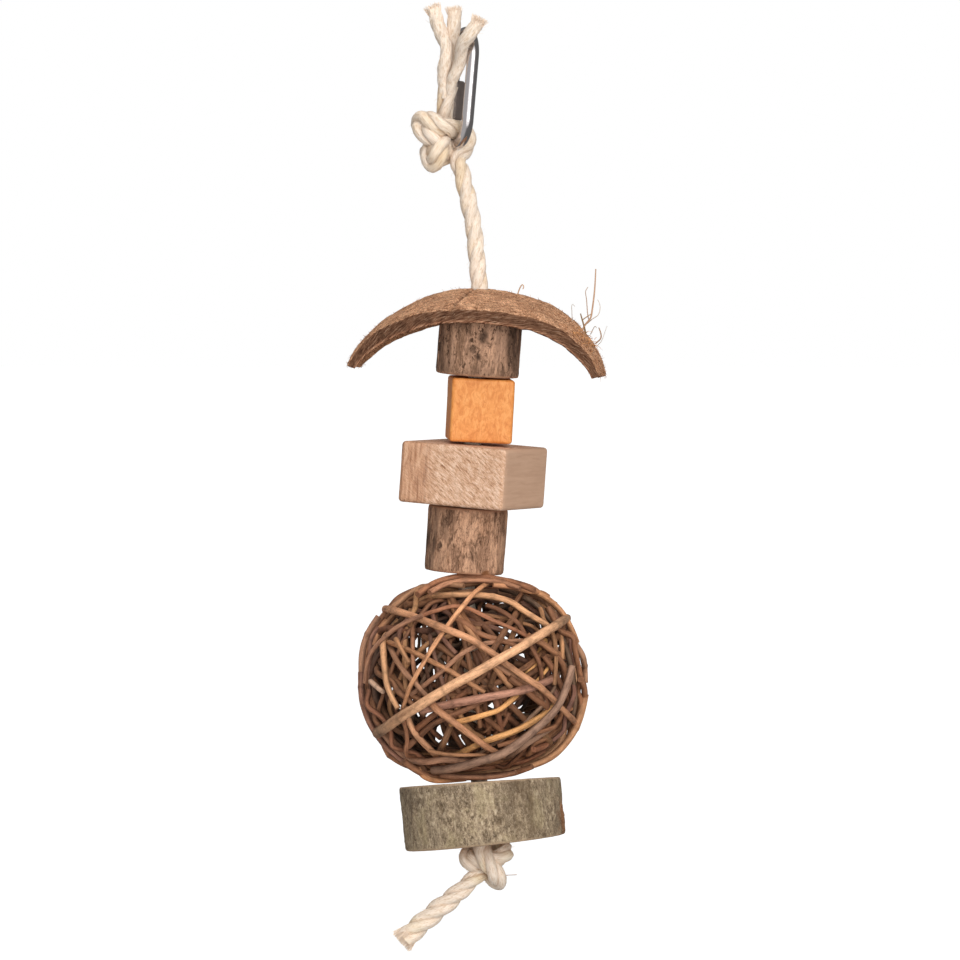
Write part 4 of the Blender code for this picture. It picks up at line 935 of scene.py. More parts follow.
def husk_groove(p):
    """Split in the shell that runs from the drilled hole to the front edge."""
    a, b = np.array([-0.6, -2.5]), np.array([-5.2, -24.0])
    t = np.clip(((p[:, :2] - a) @ (b - a)) / (b - a).dot(b - a), 0, 1)
    d = np.linalg.norm(p[:, :2] - (a + t[:, None] * (b - a)), axis=1)
    wob = 0.35 * vnoise(p * 0.5, 27)
    return np.exp(-((d + wob) / (0.42 + 0.25 * t)) ** 2) * np.clip(t * 6 + 0.2, 0, 1) * (1.0 - 0.45 * t)


def make_husk_piece():
    nu, nv, nr = 220, 90, 9
    uu = np.linspace(-1, 1, nu + 1)
    vv = np.linspace(-1, 1, nv + 1)
    U, V = np.meshgrid(uu, vv, indexing="ij")
    edge_u = 1.0 + 0.010 * vnoise(np.stack([V.ravel() * 9, U.ravel() * 0, U.ravel() * 0], 1), 3).reshape(U.shape) * (np.abs(U) > 0.9)
    edge_v = 1.0 + 0.022 * fbm(np.stack([U.ravel() * 16, np.sign(V.ravel()) * 5, V.ravel() * 0], 1), 3, 4).reshape(U.shape) * np.abs(V) ** 6
    U2, V2 = U * edge_u, V * edge_v
    flat = lambda x: x.reshape(-1)

    def rough(p, amp, seed):
        lay = fbm(p * np.array([0.10, 0.55, 0.25]), 4, seed)
        fine = fbm(p * np.array([0.45, 1.7, 0.9]), 3, seed + 4)
        return amp * (0.65 * lay + 0.35 * fine)

    top, m = husk_point(flat(U2), flat(V2), np.zeros(U.size))
    g = husk_groove(top)
    rim = np.maximum(np.abs(flat(V)) ** 24, np.abs(flat(U)) ** 40)
    top = top + m * (rough(top, 0.75, 11) - 1.1 * g - 0.45 * rim)[:, None]
    low, ml = husk_point(flat(U2), flat(V2), HUSK_T - 0.25 - 1.5 * np.abs(flat(U)) ** 3 + 1.5 * np.abs(flat(V)) ** 5 * (1.0 - 0.9 * np.abs(flat(U)) ** 5))
    low = low + ml * rough(low, 0.5, 61)[:, None]
    shape = Shape()
    ct = np.ones((U.size, 4))
    # the split is darkened in the tint: painted shade in the crack
    ct[:, :3] = ((1.0 - 0.80 * g) * (1.0 + 0.30 * fbm(top * np.array([0.16, 0.22, 0.16]), 4, 19)))[:, None]
    k_top = shape.points(top, np.stack([flat(U), flat(V)], 1), ct)
    cl = np.ones((U.size, 4))
    # the inner skin under the arch is painted darker: painted shade
    cl[:, :3] = np.array([0.78, 0.74, 0.70])
    k_low = shape.points(low, np.stack([flat(U), flat(V)], 1), cl)
    cols = nv + 1
    idx = np.arange((nu + 1) * cols).reshape(nu + 1, cols)
    hole = np.hypot(*(0.25 * (top[idx[:-1, :-1]] + top[idx[1:, :-1]] + top[idx[1:, 1:]] + top[idx[:-1, 1:]])[..., :2].transpose(2, 0, 1)))
    keep = hole > HOLE_R - 0.75
    q = np.stack([idx[:-1, :-1], idx[1:, :-1], idx[1:, 1:], idx[:-1, 1:]], axis=-1)[keep]
    shape.faces(q + k_top, 0)
    shape.faces(q[:, ::-1] + k_low, 0)
    # wall of the drilled hole: edges met by one kept face only, away from the rim
    pairs = {}
    for f in q:
        for a, b in zip(f, np.roll(f, -1)):
            pairs[(int(a), int(b))] = True
    for (a, b) in pairs:
        if (b, a) not in pairs:
            ia, ib = divmod(a, cols), divmod(b, cols)
            if min(ia[0], ib[0]) > 0 and max(ia[0], ib[0]) < nu and min(ia[1], ib[1]) > 0 and max(ia[1], ib[1]) < nv:
                shape.faces([[b + k_top, a + k_top, a + k_low, b + k_low]], 1)
    # cut rim, in rows from the outer skin to the inner one
    ring = np.concatenate([idx[:, 0], idx[-1, 1:], idx[-2::-1, -1], idx[0, -2:0:-1]])
    f = np.linspace(0.0, 1.0, nr)
    p = top[ring][None] * (1 - f)[:, None, None] + low[ring][None] * f[:, None, None]
    out = p.mean(0) - np.array([0, 0, p.mean(0)[:, 2].mean()])
    out = out / np.linalg.norm(out, axis=1)[:, None]
    rgh = fbm(p.reshape(-1, 3) * np.array([0.9, 0.9, 0.9]), 4, 81).reshape(nr, -1)
    mid = np.sin(f * math.pi)[:, None]
    on_side = np.zeros(len(ring)); on_side[:nu + 1] = -1; on_side[nu + nv:2 * nu + nv + 1] = 1
    p[..., 1] += mid * (0.35 * rgh) * on_side[None]
    p[..., 0] += mid * (0.35 * rgh) * np.where(on_side == 0, np.sign(p[..., 0].mean(0)), 0.0)[None]
    col = np.ones((nr, len(ring), 4))
    shade = np.interp(f, [0.0, 0.10, 0.55, 0.74, 0.84, 1.0], [1.15, 0.90, 0.84, 0.95, 1.9, 2.3])
    wob = 1.0 + 0.25 * fbm(p[0] * np.array([0.35, 0.35, 0.35]), 3, 83)
    col[..., :3] = shade[:, None, None] * wob[None, :, None]
    # painted shade: the split is darkened on the cut rim too
    col[..., :3] *= (1.0 - 0.75 * husk_groove(p.reshape(-1, 3)).reshape(nr, -1) * (1 - f)[:, None])[..., None]
    run = arc_length(p[0])
    k_rim = shape.points(p.reshape(-1, 3), np.stack(np.broadcast_arrays(run[None, :], 5.0 * f[:, None]), axis=-1).reshape(-1, 2), col.reshape(-1, 4))
    shape.grid(k_rim, nr, len(ring), wrap=True, flip=True, mat=1)
    bm_obj = shape.object("husk_shell", [HUSK_MAT, HUSK_CUT], 55.0)
    weld(bm_obj)
    set_pose(bm_obj, HUSK_C, HUSK_M)
    return dress(bm_obj, "husk", "husk", "husk_arch")


def weld(obj, dist=1e-6):
    import bmesh
    bm = bmesh.new()
    bm.from_mesh(obj.data)
    bmesh.ops.remove_doubles(bm, verts=bm.verts, dist=dist)
    loose = [v for v in bm.verts if not v.link_faces]
    bmesh.ops.delete(bm, geom=loose, context="VERTS")
    bmesh.ops.recalc_face_normals(bm, faces=bm.faces)
    bm.to_mesh(obj.data)
    bm.free()


def make_husk_fibres():
    rng = np.random.default_rng(77)
    shape = Shape()
    palette = np.array([(0.40, 0.185, 0.095), (0.55, 0.29, 0.165), (0.72, 0.44, 0.275), (0.30, 0.13, 0.065), (0.60, 0.30, 0.15)])

    def colours(k):
        c = np.ones((k, 4))
        c[:, :3] = palette[rng.integers(0, len(palette), k)] * rng.uniform(0.75, 1.25, k)[:, None]
        return c

    # lying on the outer skin, mostly along the arch
    k = 5200
    u, v = rng.uniform(-1, 1, k), rng.uniform(-1, 1, k)
    p, m = husk_point(u, v, np.full(k, 0.12))
    ok = np.hypot(p[:, 0], p[:, 1]) > HOLE_R + 0.6
    p, m, u, v = p[ok], m[ok], u[ok], v[ok]
    k = len(p)
    q, _ = husk_point(u + 0.01, v, np.full(k, 0.12))
    along = (q - p) / np.linalg.norm(q - p, axis=1)[:, None]
    across = np.cross(m, along)
    ang = rng.normal(0.0, 1.0, k) + math.pi * (rng.uniform(size=k) < 0.5)
    lift = np.abs(rng.normal(0.05, 0.11, k))
    way = np.cos(ang)[:, None] * along + np.sin(ang)[:, None] * across + lift[:, None] * m
    hairs(shape, p, way, rng.uniform(0.7, 2.6, k), rng.uniform(0.045, 0.09, k), -0.16 * m, colours(k), 5, 0.12, 5)
    # short fuzz along the front and back edges and the ends
    k = 800
    side = np.where(rng.uniform(size=k) < 0.6, -1.0, 1.0)
    u, v = rng.uniform(-1, 1, k), side * rng.uniform(0.95, 0.995, k)
    p, m = husk_point(u, v, rng.uniform(0.0, HUSK_T - 0.5, k))
    way = np.stack([rng.normal(0, 0.75, k), side * rng.uniform(0.15, 0.7, k), rng.normal(0.05, 0.65, k)], 1)
    hairs(shape, p, way, rng.uniform(0.4, 1.3, k), rng.uniform(0.04, 0.075, k), np.zeros((k, 3)), 0.75 * colours(k), 5, 0.2, 6)
    k = 160
    end = np.where(rng.uniform(size=k) < 0.5, -1.0, 1.0)
    u, v = end * rng.uniform(0.97, 0.998, k), rng.uniform(-0.97, 0.97, k)
    p, m = husk_point(u, v, rng.uniform(0.0, HUSK_T - 0.5, k))
    way = np.stack([end * rng.uniform(0.0, 0.5, k), rng.normal(0, 0.5, k), rng.uniform(-0.9, 0.2, k)], 1)
    hairs(shape, p, way, rng.uniform(0.3, 1.0, k), rng.uniform(0.04, 0.08, k), np.zeros((k, 3)), 0.8 * colours(k), 5, 0.2, 7)
    # hairs that stand off the skin
    k = 760
    u, v = rng.uniform(-1, 1, k), rng.uniform(-1, 1, k)
    p, m = husk_point(u, v, np.full(k, 0.1))
    ok = np.hypot(p[:, 0], p[:, 1]) > HOLE_R + 0.8
    p, m = p[ok], m[ok]
    k = len(p)
    way = m + rng.normal(0, 0.75, (k, 3))
    hairs(shape, p, way, rng.uniform(0.6, 1.7, k), rng.uniform(0.06, 0.11, k), -0.25 * m, colours(k), 6, 0.3, 8)
    obj = shape.object("husk_fibres", [HUSK_HAIR], 180.0)
    set_pose(obj, HUSK_C, HUSK_M)
    dress(obj, "husk", "husk")
    # the loose tuft at the right and single long fibres, laid out in the front view
    shape = Shape()
    strands = [((580.4, 333.5, -13, 0.34), (584.6, 325.6, -14), (589.8, 319, -15), (591.6, 310.7, -15), (593.9, 292, -15), (595.2, 270, -15)),
               ((588.5, 322, -14, 0.20), (587.0, 314, -15), (586.0, 301, -15), (585.0, 292.5, -15), (587.4, 288, -15)),
               ((585.2, 334, -13, 0.34), (583.2, 325.6, -14), (581.4, 319.5, -14.5), (580.0, 314.4, -15)),
               ((581.5, 321, -14, 0.22), (585, 318.4, -15), (590.8, 314.6, -15.5)),
               ((587, 324, -13, 0.17), (592, 319.6, -15), (597.3, 316.0, -16), (599.4, 309.8, -16), (598.8, 304.5, -16), (597.0, 300.5, -16)),
               ((571.8, 322, -13, 0.14), (571.4, 312, -14), (571.2, 307, -15), (572.2, 304.8, -15), (574.4, 307.6, -15)),
               ((595, 344, -12, 0.26), (599.5, 340, -13.5), (600.6, 336.5, -14), (599.6, 332, -14.5), (598.2, 328.4, -15)),
               ((597, 346, -12, 0.12), (601, 341.5, -14), (604.0, 333.5, -14.5), (606.4, 326.6, -15)),
               ((590, 335, -13, 0.16), (592.6, 329.6, -14), (594.6, 326.8, -14.5), (595.8, 328.6, -15)),
               ((517, 299, -10, 0.24), (518.6, 291.5, -11), (521.8, 285.4, -12), (523.6, 287.4, -12), (522.6, 290, -12))]
    tones = ((0.52, 0.31, 0.19), (0.46, 0.31, 0.22), (0.25, 0.155, 0.075), (0.42, 0.27, 0.15), (0.62, 0.50, 0.40), (0.50, 0.42, 0.35), (0.46, 0.28, 0.17), (0.62, 0.54, 0.47), (0.40, 0.30, 0.22),
             (0.55, 0.33, 0.19))
    for i, line in enumerate(strands):
        pts = smooth([at(*q[:3]) for q in line], 0.6)
        bar(shape, pts, line[0][3] * (1.0 - 0.35 * np.linspace(0, 1, len(pts)) ** 2), 6, col=tones[i] + (1.0,))
    rng2 = np.random.default_rng(5)
    along = rng2.uniform(-1.0, 1.0, 60)
    base = np.stack([at(*(np.array([583.5 + 9.5 * a, 338.5 + 8.0 * a, -17.5]) + rng2.normal(0, 1, 3) * np.array([1.8, 2.4, 1.5]))) for a in along])
    way = np.stack([rng2.normal(0.2, 0.8, 60), rng2.normal(-0.2, 0.5, 60), rng2.normal(0.25, 0.5, 60)], 1)
    c = np.ones((60, 4)); c[:, :3] = np.array([0.66, 0.31, 0.125]) * rng2.uniform(0.7, 1.2, 60)[:, None]
    hairs(shape, base, way, rng2.uniform(1.2, 3.0, 60), rng2.uniform(0.09, 0.17, 60), np.tile([0.1, 0, -0.5], (60, 1)), c, 7, 0.3, 9)
    dress(shape.object("husk_tuft", [HUSK_HAIR], 180.0), "husk", "husk")


# ---------------------------------------------------------------- rope
LAY = 22.0
TOP = [(448.6, 86, -0.8), (447.0, 97, -0.4), (445.3, 107, 0.4), (443.6, 117, 2.2), (442.4, 127, 3.0), (441.6, 137.5, 0.6), (440.4, 147, -3.6),
       (438.0, 156, -4.8), (434.6, 163.6, -2.2), (429.4, 158, -0.2), (428.6, 149.6, 2.4), (434.0, 153.5, 4.6), (442.5, 156.5, 5.0), (446.5, 149.5, 3.4),
       (440.5, 142.6, 0.4), (432.5, 138.2, -3.4), (424.2, 132.8, -1.9), (419.6, 125.2, 0.2), (424.6, 119.4, -1.6), (433.0, 122.6, -4.0),
       (442.5, 127.6, -4.4), (451.5, 128.6, -0.6), (461.5, 131, 2.6), (467.6, 140, 3.6), (464.4, 149, 3.2), (459.0, 157, 1.6), (458.8, 164, 0.4)]
RUN = [(460.8, 169, 0.0), (461.9, 174, 0.0), (469.5, 206, -0.4), (473.4, 226, -0.8), (476.6, 256, -1.3), (479, 285, -1.85), (480, 310, -1.85),
       (478.5, 350, -1.36), (474.2, 412, -0.63), (470.2, 475, 0.10), (466, 541, 0.87), (465.6, 575, 1.22), (469, 630, 0.93), (473.9, 700, 0.51),
       (479.4, 781, 0.03), (482.2, 812, -0.14), (485.0, 838, -0.3)]
LOW = [(481.5, 849.5, -3.0), (487.5, 861.0, -5.0), (495.0, 873.0, -4.2), (499.0, 881.0, -0.4), (494.0, 879.0, 3.4), (484.0, 868.0, 5.4),
       (473.0, 858.0, 4.0), (467.6, 856.5, 0.8), (470.0, 861.5, -2.4), (480.0, 863.5, -1.0), (493.0, 859.0, -2.4), (502.8, 856.0, -2.6),
       (504.6, 850.8, 1.6), (497.0, 852.6, 5.4), (487.0, 867.0, 3.0), (478.0, 875.0, 0.6), (468.6, 883.6, -0.8), (450.4, 899.6, -1.6), (427.4, 918.6, -2.0), (404.4, 938.8, -2.2)]
ROPE_LINE = smooth([at(*p) for p in TOP + RUN + LOW], 0.7)
ROPE_S = arc_length(ROPE_LINE)
ROPE_T, ROPE_N, ROPE_B = frames(ROPE_LINE, (0.0, 1.0, 0.0))
ROPE_LAY = np.where(ROPE_S < 12.0, 52.0, LAY)
ROPE_TURN = 2 * math.pi * np.concatenate([[0.0], np.cumsum(np.diff(ROPE_S) / ROPE_LAY[1:])])


def place_on_rope(u, w, y=0.0, after=0.0):
    d = np.linalg.norm(ROPE_LINE - at(u, w, y), axis=1) + 1e3 * (ROPE_S < after)
    return int(np.argmin(d))


I_NECK = place_on_rope(459.0, 161.0, 0.9)
I_SEAM = place_on_rope(467.1, 196.0, -0.3, ROPE_S[I_NECK])
I_FOOT = place_on_rope(485.0, 841.0, -0.6, ROPE_S[I_NECK] + 60)


def rope_radius(s):
    """Rope a little fuller in its two knots, and looser at its two tails."""
    low = np.clip((s - ROPE_S[I_FOOT]) / 4.0, 0, 1) * np.clip((ROPE_S[-1] - 30 - s) / 8.0, 0, 1)
    tail = np.clip((9.0 - s) / 8.0, 0, 1)
    knot = np.clip((s - 13.0) / 5.0, 0, 1) * np.clip((ROPE_S[I_NECK] - 4.0 - s) / 6.0, 0, 1)
    end = np.clip((s - ROPE_S[-1] + 30.0) / 12.0, 0, 1)
    return ROPE_R * (0.97 + 0.07 * low + 0.10 * tail + 0.14 * knot + 0.20 * end)


def laid_rope(shape, i0, i1, seed, fuzz, flare_start=0.0, flare_end=0.0, reach=2.3, reachable=10 ** 6, pale=1.0):
    """Three strands laid round the rope's line between two of its stations, with loose fibres."""
    p, t, n, b, s, turn = (x[i0:i1 + 1] for x in (ROPE_LINE, ROPE_T, ROPE_N, ROPE_B, ROPE_S, ROPE_TURN))
    rad = rope_radius(s)
    rng = np.random.default_rng(seed)
    sides = 20
    a = 2 * math.pi * np.arange(sides) / sides
    for k in range(3):
        ph = turn + 2 * math.pi * k / 3.0
        spread = 1.0 + flare_start * np.exp(-(s - s[0]) / 5.0) + flare_end * np.exp(-(s[-1] - s) / 4.0)
        tight = np.clip((s - ROPE_S[I_NECK]) / 10.0, 0, 1) * np.clip((ROPE_S[I_FOOT] - s) / 10.0, 0, 1)
        off = (0.40 - 0.11 * tight) * rad * spread
        c = p + off[:, None] * (np.cos(ph)[:, None] * n + np.sin(ph)[:, None] * b)
        rs = (0.60 + 0.11 * tight) * rad
        yarn = 0.030 * np.sin(5 * a[None, :] - 1.4 * ph[:, None] + k) + 0.022 * np.sin(7 * a[None, :] - 2.6 * ph[:, None] + 2 * k)
        lump = 0.05 * vnoise(np.stack([s * 0.35, np.full(len(s), 9.0 * k), np.zeros(len(s))], 1), seed + k)
        r = rs[:, None] * (1.0 + yarn + lump[:, None])
        q = c[:, None, :] + r[..., None] * (np.cos(a + 0.0)[None, :, None] * n[:, None, :] + np.sin(a)[None, :, None] * b[:, None, :])
        uv = np.stack(np.broadcast_arrays(k * 1.37 + np.arange(sides)[None, :] / sides - 0.3 * s[:, None] / LAY, s[:, None]), axis=-1)
        # painted shade: each strand is darkened on the side that faces the rope's core, in the creases between strands
        out = np.cos(a[None, :] - ph[:, None])
        groove = np.clip((out + 0.55) / 1.0, 0, 1)
        groove = groove * groove * (3 - 2 * groove)
        warm = 0.5 + 0.5 * vnoise(np.stack([s * 0.11, np.full(len(s), 5.0 * k), np.full(len(s), 2.0)], 1), seed + 17)
        tint = np.ones((len(s), sides, 4))
        tint[..., :3] = 1.0 - (1.0 - groove)[..., None] * np.array([0.55, 0.63, 0.70])
        tint[..., :3] *= 1.0 - 0.16 * np.clip(2.2 * warm - 1.2, 0, 1)[:, None, None] * np.array([0.35, 0.8, 1.7])
        # painted light: pale above 1 lightens the tint and eases the painted crease shade
        tint[..., :3] = np.minimum(tint[..., :3] ** (1.0 / pale) * pale ** 0.5, 1.05)
        j = shape.points(q.reshape(-1, 3), uv.reshape(-1, 2), tint.reshape(-1, 4))
        shape.grid(j, len(p), sides, wrap=True)
        for end in (0, -1):
            jj = shape.points(q[end], uv[end])
            kk = shape.points(c[end][None, :], uv[end][:1])
            shape.fan(np.arange(sides) + jj, kk, flip=end == 0)
    if fuzz:
        i = rng.integers(2, min(len(p) - 3, max(reachable, 8)), fuzz)
        ang = rng.uniform(0, 2 * math.pi, fuzz)
        side = np.cos(ang)[:, None] * n[i] + np.sin(ang)[:, None] * b[i]
        sign = np.where(rng.uniform(size=fuzz) < 0.5, -1.0, 1.0)
        way = side * rng.uniform(0.25, 0.9, fuzz)[:, None] + t[i] * (sign * rng.uniform(0.4, 1.2, fuzz))[:, None] + rng.normal(0, 0.25, (fuzz, 3))
        long = rng.uniform(0.8, reach, fuzz)
        c = np.ones((fuzz, 4))
        hairs(shape, p[i] + side * (0.93 * rad[i])[:, None], way, long, rng.uniform(0.035, 0.065, fuzz), np.zeros((fuzz, 3)), c, 5, 0.2, seed)


def brush(shape, centre, way, radius, count, long, seed, spread=0.18, thick=(0.07, 0.15)):
    """Fibre ends at a cut strand."""
    rng = np.random.default_rng(seed)
    way = np.asarray(way, float) / np.linalg.norm(way)
    e = np.cross(way, [0.0, 1.0, 0.0] if abs(way[1]) < 0.9 else [1.0, 0.0, 0.0])
    e = e / np.linalg.norm(e)
    f = np.cross(way, e)
    r, a = radius * np.sqrt(rng.uniform(0, 1, count)), rng.uniform(0, 2 * math.pi, count)
    off = (r * np.cos(a))[:, None] * e + (r * np.sin(a))[:, None] * f
    c = np.ones((count, 4)); c[:, :3] = rng.uniform(0.92, 1.12, count)[:, None]
    lengths = rng.uniform(0.55, 1.0, count) * long
    hairs(shape, centre - way * 2.2 + off, way + spread * (off / radius) + rng.normal(0, 0.09, (count, 3)), 2.2 + lengths,
          rng.uniform(*thick, count), np.zeros((count, 3)), c, 5, 0.08, seed + 1)


STRANDS = {"left": [(444.6, 98, -1.0), (444.0, 84, -2.2), (445.2, 66, -2.8), (444.8, 50, -3.0), (441.6, 33, -2.8), (437.6, 21, -2.4), (433.4, 10.5, -2.0)],
           "middle": [(448.6, 96, 1.6), (450.0, 80, 1.4), (452.0, 62, 1.2), (453.8, 48, 0.0), (454.6, 36, -0.9), (454.6, 23, -1.2), (454.4, 12, -1.2)],
           "right": [(450.2, 94, -2.2), (454.0, 78, -4.0), (458.2, 64, -6.2), (463.2, 49, -10.0), (470.3, 35.5, -12.2), (477.8, 23.5, -12.6)]}


def make_strand(name, line, seed):
    pts = smooth([at(*q) for q in line], 0.6)
    s = arc_length(pts)
    f = s / s[-1]
    t, n, b = frames(pts)
    curl = 0.55 * np.sin(math.pi * f) ** 0.6
    pts = pts + (curl * np.cos(s / 2.6 + seed))[:, None] * n + (curl * np.sin(s / 2.6 + seed))[:, None] * b
    sides = 26
    a = 2 * math.pi * np.arange(sides) / sides
    r = 1.95 * (1.0 + 0.16 * f ** 2 - 0.10 * (1 - f) ** 3)
    twist = 2 * math.pi * s / 26.0
    lobes = 0.07 * np.sin(5 * a[None, :] - 5 * twist[:, None]) + 0.05 * np.sin(9 * a[None, :] - 7 * twist[:, None] + seed)
    lump = 0.06 * vnoise(np.stack([s * 0.3, np.full(len(s), float(seed)), np.zeros(len(s))], 1), seed)
    shape = Shape()
    bar(shape, pts, r, sides, col=(1, 1, 1, 1), cap=(0.80, 0.74, 0.66, 1), wob=1.0 + lobes + lump[:, None])
    way = pts[-1] - pts[-4]
    brush(shape, pts[-1], way, 1.9, 170, 2.0, seed, 0.30, (0.07, 0.17))
    rng = np.random.default_rng(seed + 40)
    i = rng.integers(3, len(pts) - 2, 34)
    t, n, b = frames(pts)
    ang = rng.uniform(0, 6.28, 34)
    side = np.cos(ang)[:, None] * n[i] + np.sin(ang)[:, None] * b[i]
    hairs(shape, pts[i] + side * 1.9, side * 0.5 + t[i] * rng.uniform(0.3, 1.0, 34)[:, None], rng.uniform(1.0, 3.2, 34), rng.uniform(0.04, 0.07, 34),
          np.zeros((34, 3)), np.ones((34, 4)), 6, 0.2, seed + 3)
    return dress(shape.object("strand_" + name, [SISAL], 60.0), "quick_link", "sisal", "rope_strand_" + name)


def make_rope():
    shape = Shape()
    laid_rope(shape, 0, I_NECK, 301, 190, flare_start=0.25, reach=2.4)
    core = smooth([at(431, 129, 0.0), at(436, 139, -0.4), at(438, 149, -1.0), at(436, 157, -0.8)], 0.8)
    bar(shape, core, 3.9, 16, col=(0.80, 0.72, 0.63, 1.0))
    knot = dress(shape.object("knot_upper", [SISAL], 60.0), "quick_link", "sisal", "top_knot", "rope_top_tail")
    strands = [make_strand(k, v, 11 + i) for i, (k, v) in enumerate(STRANDS.items())]
    shape = Shape()
    laid_rope(shape, I_NECK, I_SEAM, 302, 26)
    neck = shape.object("rope_neck", [SISAL], 60.0)
    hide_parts("rope_upper")
    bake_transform(neck)
    shape = Shape()
    laid_rope(shape, I_SEAM, I_FOOT, 303, 110, reachable=int(0.17 * (I_FOOT - I_SEAM)))
    run = shape.object("rope_run", [SISAL], 60.0)
    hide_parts("rope_core")
    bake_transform(run)
    shape = Shape()
    # pale=1.3 is painted light, lifting the lower knot and tail out of the shadow under the slice
    laid_rope(shape, I_FOOT, len(ROPE_LINE) - 1, 304, 240, flare_end=0.18, reach=2.6, pale=1.3)
    bar(shape, smooth([at(503.5, 875.4, -3.0), at(509, 874.9, -3.5), at(517, 874.5, -3.8)], 0.8), 0.16, 6, col=(0.66, 0.60, 0.60, 1.0))
    end = ROPE_LINE[-1]
    brush(shape, end, ROPE_T[-1], 3.4, 230, 2.2, 61, 0.26, (0.10, 0.22))
    low = dress(shape.object("knot_lower", [SISAL], 60.0), "rope", "sisal", "bottom_knot", "bottom_tail")
    route = ROPE_LINE[I_SEAM:I_FOOT + 1:6]
    if (I_FOOT - I_SEAM) % 6:
        route = np.vstack([route, ROPE_LINE[I_FOOT]])



